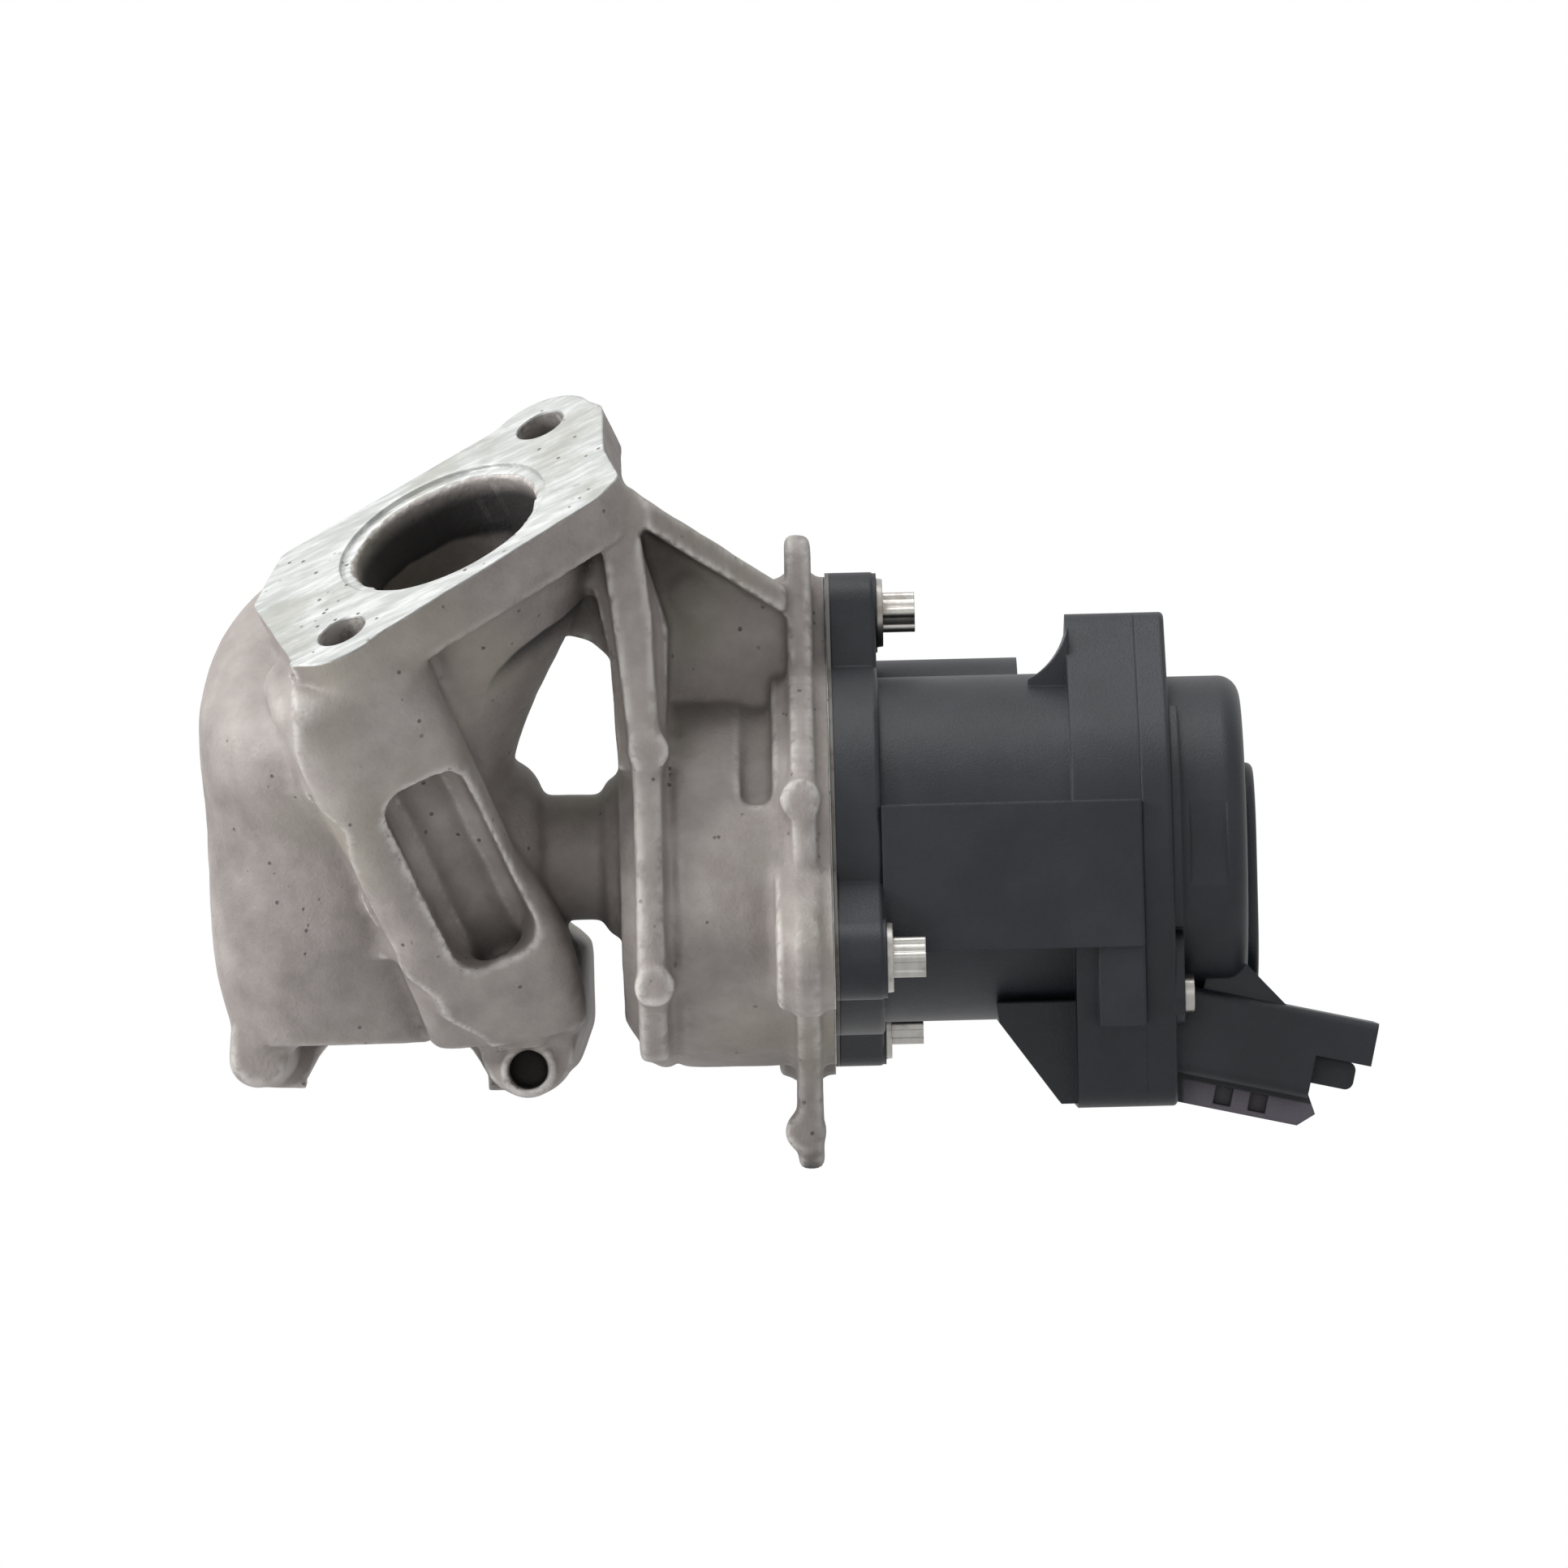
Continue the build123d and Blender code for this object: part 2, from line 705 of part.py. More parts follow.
with BuildPart() as valve_housing:
    add(inlet_flange.part)
    add(inlet_duct.part)
    add(left_body.part)
    add(plateau.part)
    add(bolt_column.part)
    add(column_foot.part)
    add(upper_boss.part)
    add(foot_block.part)
    add(feet.part)
    add(outlet_mount.part)
    add(neck.part)
    add(drum.part)
    add(fin.part)
    add(actuator_plate.part)
    add(keel_pads.part)
    add(gusset.part)
    # gas chambers on either side of the seat wall
    with BuildSketch(facing(stem_y)):
        with BuildLine():
            c1 = CenterArc((outlet_chamber_left + outlet_chamber_r, 0), outlet_chamber_r, 90, 90)
            c2 = Line(c1 @ 1, (seat_wall_left, 0))
            c3 = Line(c2 @ 1, (seat_wall_left, outlet_chamber_r))
            Line(c3 @ 1, c1 @ 0)
        make_face()
    revolve(axis=Axis((0, stem_y, 0), (1, 0, 0)), mode=Mode.SUBTRACT)
    with BuildSketch(across(seat_wall_right)):
        Circle(inlet_chamber_r)
    extrude(amount=inlet_chamber_right - seat_wall_right, mode=Mode.SUBTRACT)
    with BuildSketch(across(seat_wall_left)):
        Circle(seat_outer_r)
    extrude(amount=seat_wall, mode=Mode.SUBTRACT)
    # bush bore through the neck and the drum cavity
    with BuildSketch(across(bush_left)):
        Circle(bush_r)
    extrude(amount=drum_left + drum_wall - bush_left, mode=Mode.SUBTRACT)
    with BuildSketch(across(bush_right)):
        Circle(seal_r)
    extrude(amount=drum_left + drum_wall - bush_right, mode=Mode.SUBTRACT)
    with BuildSketch(across(drum_left + drum_wall)):
        Circle(drum_cavity_r)
    extrude(amount=actuator_face - drum_left - drum_wall, mode=Mode.SUBTRACT)
    # outlet to the rear face
    with BuildSketch(facing(0.0)):
        Circle(port_r)
    extrude(amount=stem_depth - outlet_chamber_r, mode=Mode.SUBTRACT)
    with BuildSketch(facing(0.0)):
        Circle(port_r - 1.5)
        with Locations((seat_wall_left - 1.0, 0)):
            Rectangle(3 * port_r, 2 * port_r, align=(Align.MAX, Align.CENTER), mode=Mode.INTERSECT)
    extrude(amount=stem_depth - 4.0, mode=Mode.SUBTRACT)
    # inlet passage
    with BuildSketch(inlet_mouth):
        Circle(inlet_bore_r)
    extrude(amount=-inlet_plate, mode=Mode.SUBTRACT)
    with BuildSketch(inlet_mouth.offset(-inlet_plate)):
        Circle(inlet_bore_r)
    with BuildSketch(section(25.2, stem_y - 13.0, 37.0, 14, 19)):
        Ellipse(15.8, 15.2)
    with BuildSketch(section(20.5, stem_y - 5.5, 18.0, 0, 8)):
        Ellipse(14.6, 9.8)
    with BuildSketch(section(21.0, stem_y - 1.0, 5.0, 0, 0)):
        Ellipse(12.5, 7.9)
    loft(mode=Mode.SUBTRACT)
    with BuildSketch(inlet_plane):
        Circle(inlet_step_r)
    extrude(amount=-inlet_step_depth, mode=Mode.SUBTRACT)
    # inlet bolt holes, and the open slot over the lower one
    with BuildSketch(inlet_plane):
        with Locations((-bolt_p, -bolt_q)):
            Circle(inlet_bolt_r)
    extrude(amount=-slot_end - 4.0, mode=Mode.SUBTRACT)
    with BuildSketch(inlet_plane):
        with Locations((bolt_p, bolt_q)):
            Circle(inlet_bolt_r)
    extrude(amount=-upper_bolt_depth, mode=Mode.SUBTRACT)
    slot_plane = Plane(
        origin=inlet_plane.from_local_coords((-bolt_p, -front_edge - 2.0, -(slot_start + slot_end) / 2)),
        x_dir=inlet_plane.x_dir,
        z_dir=-inlet_plane.y_dir,
    )
    with BuildSketch(slot_plane):
        RectangleRounded(slot_width, slot_end - slot_start, 4.5)
    extrude(amount=-slot_cut - 2.0, taper=3, mode=Mode.SUBTRACT)
    # mounting foot holes
    with BuildSketch(facing(-right_foot_length)):
        with Locations((right_foot_x, right_foot_z)):
            Circle(foot_pocket_r)
    extrude(amount=-foot_pocket_depth, mode=Mode.SUBTRACT)
    with BuildSketch(facing(0.0)):
        with Locations(
            (right_foot_x, right_foot_z),
            (left_foot_x, left_foot_z),
            (upper_foot_x, upper_foot_z),
        ):
            Circle(tapped_r)
    extrude(amount=tapped_depth, mode=Mode.SUBTRACT)
    # tapped holes for the actuator screws
    with BuildSketch(across(actuator_face)):
        with Locations(*screw_places):
            Circle(screw_r + free_gap / 2)
    extrude(amount=-flange_thickness, mode=Mode.SUBTRACT)
valve_housing.part.label = "valve_housing"
export_step(valve_housing.part, "parts/valve_housing.step")

# Valve parts in the casting

with BuildPart() as valve_seat:
    with BuildSketch(facing(stem_y)) as seat_profile:
        with BuildLine():
            Polyline(
                (seat_wall_left - seat_proud, seat_bore_r + 0.6),
                (seat_wall_left - seat_proud, seat_outer_r - 0.4),
                (seat_wall_left, seat_outer_r),
                (seat_wall_right, seat_outer_r),
                (seat_wall_right, seat_bore_r + 1.0),
                (seat_wall_right - 1.0, seat_bore_r),
                (seat_wall_left + 0.4, seat_bore_r),
                close=True,
            )
        make_face()
    revolve(axis=Axis((0, stem_y, 0), (1, 0, 0)))
valve_seat.part.label = "valve_seat"
export_step(valve_seat.part, "parts/valve_seat.step")

disc_face = seat_wall_left - seat_proud
with BuildPart() as poppet_disc:
    with BuildSketch(facing(stem_y)):
        with BuildLine():
            d1 = Line((disc_face - disc_thickness, stem_r), (disc_face - disc_thickness, disc_r - 1.6))
            d2 = RadiusArc(d1 @ 1, (disc_face - disc_thickness + 1.6, disc_r), 1.6)
            d3 = Line(d2 @ 1, (disc_face, disc_r))
            d4 = Line(d3 @ 1, (disc_face, stem_r + 3.5))
            d5 = RadiusArc(d4 @ 1, (disc_face + 3.2, stem_r), -3.4)
            Line(d5 @ 1, d1 @ 0)
        make_face()
    revolve(axis=Axis((0, stem_y, 0), (1, 0, 0)))
poppet_disc.part.label = "poppet_disc"
export_step(poppet_disc.part, "parts/poppet_disc.step")

# The stem runs from its riveted end in the disc to the flats that stop it turning
flat_left = actuator_start - 2.0
with BuildPart() as valve_stem:
    with BuildSketch(across(disc_face - disc_thickness - 0.8)):
        Circle(stem_r + 0.9)
    extrude(amount=0.8)
    with BuildSketch(across(disc_face - disc_thickness)):
        Circle(stem_r)
    extrude(amount=spindle_left + spindle_socket - disc_face + disc_thickness)
    with BuildSketch(across(flat_left)):
        Rectangle(2 * stem_r, 2 * stem_r)
        Rectangle(2 * stem_r - 1.6, 2 * stem_r, mode=Mode.SUBTRACT)
    extrude(amount=spindle_left - flat_left, mode=Mode.SUBTRACT)
    with BuildSketch(across(spring_right + spring_plate_thickness)):
        Circle(stem_r)
        Circle(stem_r - 0.5, mode=Mode.SUBTRACT)
    extrude(amount=clip_thickness, mode=Mode.SUBTRACT)
valve_stem.part.label = "valve_stem"
export_step(valve_stem.part, "parts/valve_stem.step")

guide_bush_part = tube(bush_left, bush_r, stem_r + running_gap, bush_right - bush_left)
guide_bush_part.label = "guide_bush"
export_step(guide_bush_part, "parts/guide_bush.step")

stem_seal_part = tube(bush_right, seal_r, stem_r + running_gap, seal_thickness)
stem_seal_part.label = "stem_seal"
export_step(stem_seal_part, "parts/stem_seal.step")

# Cup that holds the seal down and carries the fixed end of the spring
cup_left = bush_right + seal_thickness
cup_floor = drum_left + drum_wall
with BuildPart() as spring_seat:
    with BuildSketch(facing(stem_y)):
        with BuildLine():
            Polyline(
                (cup_left, stem_r + 1.0),
                (cup_left, seal_r),
                (cup_floor, seal_r),
                (cup_floor, spring_mean_r + spring_wire_r + 2.4),
                (cup_floor + spring_seat_thickness, spring_mean_r + spring_wire_r + 2.4),
                (cup_floor + spring_seat_thickness, seal_r - retainer_thickness),
                (cup_left + retainer_thickness, seal_r - retainer_thickness),
                (cup_left + retainer_thickness, stem_r + 1.0),
                close=True,
            )
        make_face()
    revolve(axis=Axis((0, stem_y, 0), (1, 0, 0)))
spring_seat.part.label = "spring_seat"
export_step(spring_seat.part, "parts/spring_seat.step")

# Closed coil spring: a helix between two flat end turns
spring_start = cup_floor + spring_seat_thickness + spring_wire_r
spring_end = spring_right - spring_wire_r
with BuildPart() as return_spring:
    with BuildLine() as coil:
        Helix(
            pitch=(spring_end - spring_start) / spring_turns,
            height=spring_end - spring_start,
            radius=spring_mean_r,
            center=(spring_start, stem_y, 0),
            direction=(1, 0, 0),
        )
    with BuildSketch(Plane(origin=coil.line @ 0, z_dir=coil.line % 0)):
        Circle(spring_wire_r)
    sweep(path=coil.line, is_frenet=True)
return_spring.part.label = "return_spring"
export_step(return_spring.part, "parts/return_spring.step")

with BuildPart() as spring_plate:
    with BuildSketch(across(spring_right)):
        Circle(spring_plate_r)
        Circle(stem_r, mode=Mode.SUBTRACT)
    extrude(amount=spring_plate_thickness)
    fillet(spring_plate.faces().sort_by(Axis.X)[-1].edges().sort_by(SortBy.LENGTH)[-1], 1.0)
spring_plate.part.label = "spring_plate"
export_step(spring_plate.part, "parts/spring_plate.step")

with BuildPart() as stem_clip:
    with BuildSketch(across(spring_right + spring_plate_thickness)):
        Circle(clip_r)
        Circle(stem_r - 0.5, mode=Mode.SUBTRACT)
        with Locations((0, clip_r / 2)):
            Rectangle(2.4, clip_r + 1.0, mode=Mode.SUBTRACT)
    extrude(amount=clip_thickness)
stem_clip.part.label = "stem_clip"
export_step(stem_clip.part, "parts/stem_clip.step")

# Screw spindle on the end of the stem
with BuildPart() as screw_spindle:
    with BuildSketch(across(spindle_left)):
        Circle(spindle_r)
    extrude(amount=spindle_right - spindle_left)
    fillet(screw_spindle.edges().filter_by(GeomType.CIRCLE), 0.5)
    with BuildSketch(across(spindle_left)):
        Circle(stem_r)
    extrude(amount=spindle_socket, mode=Mode.SUBTRACT)
screw_spindle.part.label = "screw_spindle"
export_step(screw_spindle.part, "parts/screw_spindle.step")

# Joint between casting and actuator

with BuildPart() as flange_gasket:
    with BuildSketch(across(actuator_face)):
        Circle(drum_r - 0.5)
        for back, up in screw_places:
            with BuildSketch(mode=Mode.PRIVATE) as arm:
                with Locations((back, up)):
                    Circle(actuator_boss_r)
                with Locations((back * 0.55, up * 0.55)):
                    Circle(actuator_boss_r + 5.0)
                make_hull()
            add(arm.sketch)
        with Locations((motor_back, motor_up)):
            Circle(motor_barrel_r)
        Circle(guide_plate_r - 1.0, mode=Mode.SUBTRACT)
        with Locations(*screw_places):
            Circle(screw_hole_r + free_gap, mode=Mode.SUBTRACT)
    extrude(amount=gasket_thickness)
flange_gasket.part.label = "flange_gasket"
export_step(flange_gasket.part, "parts/flange_gasket.step")

# Black actuator housing
motor_pocket_end = motor_barrel_end - plastic_wall
boss_end = actuator_start + actuator_flange + 0.3


def gear_case_outline(shrink):
    """Outline of the gear case: circles round each gear, screw and the connector, and their hull."""
    with BuildSketch(mode=Mode.PRIVATE) as outline:
        Circle(30.0 - shrink)
        with Locations((idler_back, idler_up)):
            Circle(idler_large_r + 4.3 - shrink)
        with Locations((motor_back, motor_up)):
            Circle(11.0 - shrink)
        with Locations(*cover_screw_places):
            Circle(5.2 - shrink)
        with Locations((-17.0, -38.0), (6.0, -38.0)):
            Circle(5.0 - shrink)
        make_hull()
    return outline.sketch


def gear_space_outline():
    """Room for the gear train: circles round the gears, and their hull."""
    with BuildSketch(mode=Mode.PRIVATE) as outline:
        Circle(output_pitch_r + 2.4)
        with Locations((idler_back, idler_up)):
            Circle(idler_large_r + 1.8)
        with Locations((motor_back, motor_up)):
            Circle(pinion_r + 3.0)
        make_hull()
    return outline.sketch


with BuildPart() as actuator_housing:
    with BuildSketch(across(actuator_start)):
        Circle(drum_r - 0.5)
        for back, up in screw_places:
            with BuildSketch(mode=Mode.PRIVATE) as arm:
                with Locations((back, up)):
                    Circle(actuator_boss_r)
                with Locations((back * 0.5, up * 0.5)):
                    Circle(actuator_boss_r + 3.0)
                make_hull()
            add(arm.sketch)
        with Locations((motor_back, motor_up)):
            Circle(motor_barrel_r)
    extrude(amount=actuator_flange)
    fillet(actuator_housing.faces().sort_by(Axis.X)[-1].edges(), 0.8)
    with BuildSketch(across(actuator_start)):
        with Locations(*screw_places):
            Circle(actuator_boss_r - 0.2)
    extrude(amount=boss_end - actuator_start)
    with BuildSketch(across(actuator_start)):
        Circle(barrel_r)
    extrude(amount=barrel_end - actuator_start)
    # flat pad on the front of the barrel
    with BuildSketch(facing(stem_y)):
        with Locations(((actuator_start + actuator_flange + cover_joint) / 2, (pad_top + pad_bottom) / 2)):
            Rectangle(cover_joint - actuator_start - actuator_flange, pad_top - pad_bottom)
    extrude(amount=barrel_r + pad_proud)
    # step on the front of the gear plate under the pad
    with BuildSketch(facing(stem_y)):
        with Locations((cover_joint, pad_bottom + 4.0)):
            Rectangle(7.7, 17.0, align=(Align.MAX, Align.MAX))
    extrude(amount=barrel_r + 1.0)
    # motor barrel and the tunnel for its shaft
    with BuildSketch(across(actuator_start, motor_back, motor_up)):
        Circle(motor_barrel_r)
    extrude(amount=motor_barrel_end - actuator_start)
    fillet(actuator_housing.faces().sort_by(Axis.X)[-1].edges(), 0.4)
    with BuildSketch(across(motor_pocket_end, motor_back, motor_up)):
        Circle(tunnel_r)
    extrude(amount=gear_floor - motor_pocket_end)
    # gear plate
    with BuildSketch(across(gear_plate_left)):
        add(gear_case_outline(0.0))
    extrude(amount=cover_joint - gear_plate_left)
    # webs that carry the plate on the barrel, a hollow-curved one above and a sloping one below
    with BuildSketch(facing(stem_y + 9.0)):
        with BuildLine():
            u1 = Line((118.5, barrel_r - 3.0), (118.5, barrel_r - 1.0))
            u2 = RadiusArc(u1 @ 1, (gear_plate_left + 0.3, 36.0), -12.0)
            u3 = Line(u2 @ 1, (gear_plate_left + 0.3, barrel_r - 3.0))
            Line(u3 @ 1, u1 @ 0)
        make_face()
    extrude(amount=20.0)
    with BuildSketch(facing(stem_y + 8.0)):
        with BuildLine():
            Polyline(
                (112.0, -barrel_r + 3.0),
                (112.4, -barrel_r - 0.3),
                (122.2, -42.3),
                (gear_plate_left + 1.0, -42.3),
                (gear_plate_left + 1.0, -barrel_r + 3.0),
                close=True,
            )
        make_face()
    extrude(amount=24.0)
    # inside: guide plate seat, screw bore, bearing seat, gear space and motor pocket
    for start, radius, end in (
        (actuator_start, guide_plate_r, actuator_start + guide_plate_thickness),
        (actuator_start, nut_bore_r, bearing_left),
        (bearing_left, bearing_r, gear_floor),
    ):
        with BuildSketch(across(start)):
            Circle(radius)
        extrude(amount=end - start, mode=Mode.SUBTRACT)
    with BuildSketch(across(gear_floor)):
        add(gear_space_outline())
    extrude(amount=cover_joint - gear_floor, mode=Mode.SUBTRACT)
    with BuildSketch(across(cover_joint)):
        add(gear_case_outline(seal_inset))
        add(gear_case_outline(seal_inset + seal_width), mode=Mode.SUBTRACT)
    extrude(amount=-seal_height, mode=Mode.SUBTRACT)
    with BuildSketch(across(actuator_start, motor_back, motor_up)):
        Circle(motor_r)
    extrude(amount=motor_pocket_end - actuator_start, mode=Mode.SUBTRACT)
    with BuildSketch(across(motor_pocket_end, motor_back, motor_up)):
        Circle(motor_shaft_r + 1.0)
    extrude(amount=gear_floor - motor_pocket_end, mode=Mode.SUBTRACT)
    with BuildSketch(across(gear_floor - 6.0, idler_back, idler_up)):
        Circle(idler_pin_r)
    extrude(amount=6.0, mode=Mode.SUBTRACT)
    # screw holes
    with BuildSketch(across(actuator_start)):
        with Locations(*screw_places):
            Circle(sleeve_r)
    extrude(amount=boss_end - actuator_start, mode=Mode.SUBTRACT)
    with BuildSketch(across(cover_joint)):
        with Locations(*cover_screw_places):
            Circle(boss_screw_r)
    extrude(amount=-cover_screw_hole, mode=Mode.SUBTRACT)
actuator_housing.part.label = "actuator_housing"
export_step(actuator_housing.part, "parts/actuator_housing.step")

with BuildPart() as screw_sleeves:
    with BuildSketch(across(actuator_start)):
        with Locations(*screw_places):
            Circle(sleeve_r)
            Circle(screw_hole_r, mode=Mode.SUBTRACT)
    extrude(amount=boss_end - actuator_start)
screw_sleeves.part.label = "screw_sleeves"
export_step(screw_sleeves.part, "parts/screw_sleeves.step")

with BuildPart() as actuator_screws:
    with BuildSketch(across(boss_end)):
        with Locations(*screw_places):
            Circle(screw_flange_r)
    extrude(amount=screw_flange, taper=8)
    with BuildSketch(across(boss_end + screw_flange)):
        with Locations(*screw_places):
            Circle(3.1)
            with PolarLocations(2.7, screw_lobes):
                Circle(0.95)
    extrude(amount=screw_head)
    with BuildSketch(across(boss_end)):
        with Locations(*screw_places):
            Circle(screw_r)
    extrude(amount=-(boss_end - actuator_face + flange_thickness - 1.0))
actuator_screws.part.label = "actuator_screws"
export_step(actuator_screws.part, "parts/actuator_screws.step")

with BuildPart() as stem_guide:
    with BuildSketch(across(actuator_start)):
        Circle(guide_plate_r)
        with BuildSketch(mode=Mode.PRIVATE) as flatted:
            Circle(stem_r + running_gap)
            Rectangle(2 * stem_r - 1.6 + 2 * running_gap, 4 * stem_r, mode=Mode.INTERSECT)
        add(flatted.sketch, mode=Mode.SUBTRACT)
    extrude(amount=guide_plate_thickness)
stem_guide.part.label = "stem_guide"
export_step(stem_guide.part, "parts/stem_guide.step")

# Motor

can_r = motor_r - running_gap
with BuildPart() as motor_can:
    with BuildSketch(across(motor_can_left, motor_back, motor_up)):
        Circle(can_r)
    extrude(amount=motor_pocket_end - motor_can_left)
    fillet(motor_can.faces().sort_by(Axis.X)[-1].edges(), 1.0)
    with BuildSketch(across(motor_can_left, motor_back, motor_up)):
        Circle(can_r - can_wall)
    extrude(amount=motor_pocket_end - can_wall - motor_can_left, mode=Mode.SUBTRACT)
    with BuildSketch(across(motor_pocket_end - can_wall, motor_back, motor_up)):
        Circle(motor_shaft_r + running_gap)
    extrude(amount=can_wall, mode=Mode.SUBTRACT)
motor_can.part.label = "motor_can"
export_step(motor_can.part, "parts/motor_can.step")

with BuildPart() as motor_end_cap:
    with BuildSketch(across(motor_can_left, motor_back, motor_up)):
        Circle(can_r - can_wall)
        Circle(motor_shaft_r + running_gap, mode=Mode.SUBTRACT)
        with PolarLocations(7.5, 2, start_angle=90):
            SlotOverall(4.0, 1.6, mode=Mode.SUBTRACT)
    extrude(amount=end_cap_thickness)
motor_end_cap.part.label = "motor_end_cap"
export_step(motor_end_cap.part, "parts/motor_end_cap.step")

motor_washer_part = tube(
    actuator_start, can_r - 1.0, can_r - 3.0, motor_can_left - actuator_start, motor_back, motor_up
)
motor_washer_part.label = "motor_washer"
export_step(motor_washer_part, "parts/motor_washer.step")

brush_left = motor_can_left + end_cap_thickness
with BuildPart() as motor_brushes:
    with BuildSketch(across(brush_left, motor_back, motor_up)):
        for side in (-1, 1):
            with Locations((side * (commutator_r + running_gap + 2.4), 0)):
                Rectangle(4.8, 3.0)
    extrude(amount=2.4)
    with BuildSketch(across(brush_left, motor_back, motor_up)):
        Circle(commutator_r + running_gap)
    extrude(amount=2.4, mode=Mode.SUBTRACT)
motor_brushes.part.label = "motor_brushes"
export_step(motor_brushes.part, "parts/motor_brushes.step")

with BuildPart() as field_magnets:
    with BuildSketch(across(armature_left - 1.5, motor_back, motor_up)):
        Circle(can_r - can_wall)
        Circle(magnet_inner_r, mode=Mode.SUBTRACT)
        Rectangle(3 * can_r, 6.0, mode=Mode.SUBTRACT)
    extrude(amount=armature_right - armature_left + 3.0)
field_magnets.part.label = "field_magnets"
export_step(field_magnets.part, "parts/field_magnets.step")

with BuildPart() as motor_shaft:
    with BuildSketch(across(motor_can_left + 0.8, motor_back, motor_up)):
        Circle(motor_shaft_r)
    extrude(amount=pinion_left + pinion_width - motor_can_left - 0.8)
motor_shaft.part.label = "motor_shaft"
export_step(motor_shaft.part, "parts/motor_shaft.step")

with BuildPart() as armature:
    with BuildSketch(across(armature_left, motor_back, motor_up)):
        Circle(armature_r)
        Circle(armature_r - 1.4, mode=Mode.SUBTRACT)
        with PolarLocations(armature_r, armature_poles, start_angle=36):
            Rectangle(4.0, 1.8, mode=Mode.SUBTRACT)
        with PolarLocations((armature_r - 0.5) / 2, armature_poles):
            Rectangle(armature_r - 0.5, 2.6)
        Circle(3.0)
        Circle(motor_shaft_r, mode=Mode.SUBTRACT)
    extrude(amount=armature_right - armature_left)
armature.part.label = "armature"
export_step(armature.part, "parts/armature.step")

commutator_part = tube(brush_left + 0.4, commutator_r, motor_shaft_r, 3.6, motor_back, motor_up)
commutator_part.label = "commutator"
export_step(commutator_part, "parts/commutator.step")

# Gear train

idler_direction = atan2(idler_up, idler_back)
motor_direction = atan2(motor_up - idler_up, motor_back - idler_back)

motor_pinion_part = gear_blank(
    across(pinion_left, motor_back, motor_up),
    idler_module,
    pinion_teeth,
    small_addendum,
    small_dedendum,
    motor_direction + pi + pi / pinion_teeth,
    pinion_width,
    motor_shaft_r,
)
motor_pinion_part.label = "motor_pinion"
export_step(motor_pinion_part, "parts/motor_pinion.step")

small_gear = gear_blank(
    across(output_left, idler_back, idler_up),
    output_module,
    idler_small_teeth,
    small_addendum,
    small_dedendum,
    idler_direction + pi + pi / idler_small_teeth,
    large_gear_left - output_left,
    idler_pin_r + running_gap,
)
large_gear = gear_blank(
    across(large_gear_left, idler_back, idler_up),
    idler_module,
    idler_large_teeth,
    wheel_addendum,
    wheel_dedendum,
    motor_direction,
    large_gear_width,
    idler_pin_r + running_gap,
)
with BuildPart() as idler_gear:
    add(small_gear)
    add(large_gear)
idler_gear.part.label = "idler_gear"
export_step(idler_gear.part, "parts/idler_gear.step")

idler_pin_right = cover_joint + 4.2
with BuildPart() as idler_pin:
    with BuildSketch(across(gear_floor - 6.0, idler_back, idler_up)):
        Circle(idler_pin_r)
    extrude(amount=idler_pin_right - gear_floor + 6.0)
idler_pin.part.label = "idler_pin"
export_step(idler_pin.part, "parts/idler_pin.step")

output_wheel = gear_blank(
    across(output_left),
    output_module,
    output_teeth,
    wheel_addendum,
    wheel_dedendum,
    idler_direction,
    output_width,
    nut_r,
)
with BuildPart() as output_gear:
    add(output_wheel)
    with BuildSketch(across(output_left + 1.0)):
        Circle(output_pitch_r - 3.4)
        Circle(hub_r + 2.4, mode=Mode.SUBTRACT)
    extrude(amount=output_width - 1.0, mode=Mode.SUBTRACT)
    with BuildSketch(across(output_left)):
        with PolarLocations((output_pitch_r + hub_r) / 2 - 0.4, 6):
            Circle(1.9)
    extrude(amount=output_width, mode=Mode.SUBTRACT)
    with BuildSketch(across(hub_left)):
        Circle(hub_r)
        Circle(nut_r, mode=Mode.SUBTRACT)
    extrude(amount=journal_left - hub_left)
    with BuildSketch(across(journal_left)):
        Circle(journal_r)
        Circle(nut_r, mode=Mode.SUBTRACT)
    extrude(amount=journal_right - journal_left)
output_gear.part.label = "output_gear"
export_step(output_gear.part, "parts/output_gear.step")

magnet_part = tube(journal_left - magnet_ring, magnet_ring_r, hub_r, magnet_ring)
magnet_part.label = "sensor_magnet"
export_step(magnet_part, "parts/sensor_magnet.step")

# Ball bearing of the output gear
ball_pitch_r = (race_inner_r + race_outer_r) / 2
bearing_middle = bearing_left + bearing_width / 2


def race(outer, inner):
    """A bearing ring with its ball groove."""
    with BuildPart() as ring:
        with BuildSketch(across(bearing_left)):
            Circle(outer)
            Circle(inner, mode=Mode.SUBTRACT)
        extrude(amount=bearing_width)
        with BuildSketch(facing(stem_y)):
            with Locations((bearing_middle, ball_pitch_r)):
                Circle(ball_r + running_gap)
        revolve(axis=Axis((0, stem_y, 0), (1, 0, 0)), mode=Mode.SUBTRACT)
    return ring.part


outer_race_part = race(bearing_r, race_outer_r)
outer_race_part.label = "bearing_outer_race"
export_step(outer_race_part, "parts/bearing_outer_race.step")

inner_race_part = race(race_inner_r, hub_r)
inner_race_part.label = "bearing_inner_race"
export_step(inner_race_part, "parts/bearing_inner_race.step")

with BuildPart() as bearing_balls:
    with Locations(across(bearing_middle)):
        with PolarLocations(ball_pitch_r, ball_count):
            Sphere(ball_r)
bearing_balls.part.label = "bearing_balls"
export_step(bearing_balls.part, "parts/bearing_balls.step")

retainer_part = tube(bearing_left + bearing_width, bearing_r, race_outer_r, retainer_thickness)
retainer_part.label = "bearing_retainer"
export_step(retainer_part, "parts/bearing_retainer.step")

# Gear cover with its dome and the connector

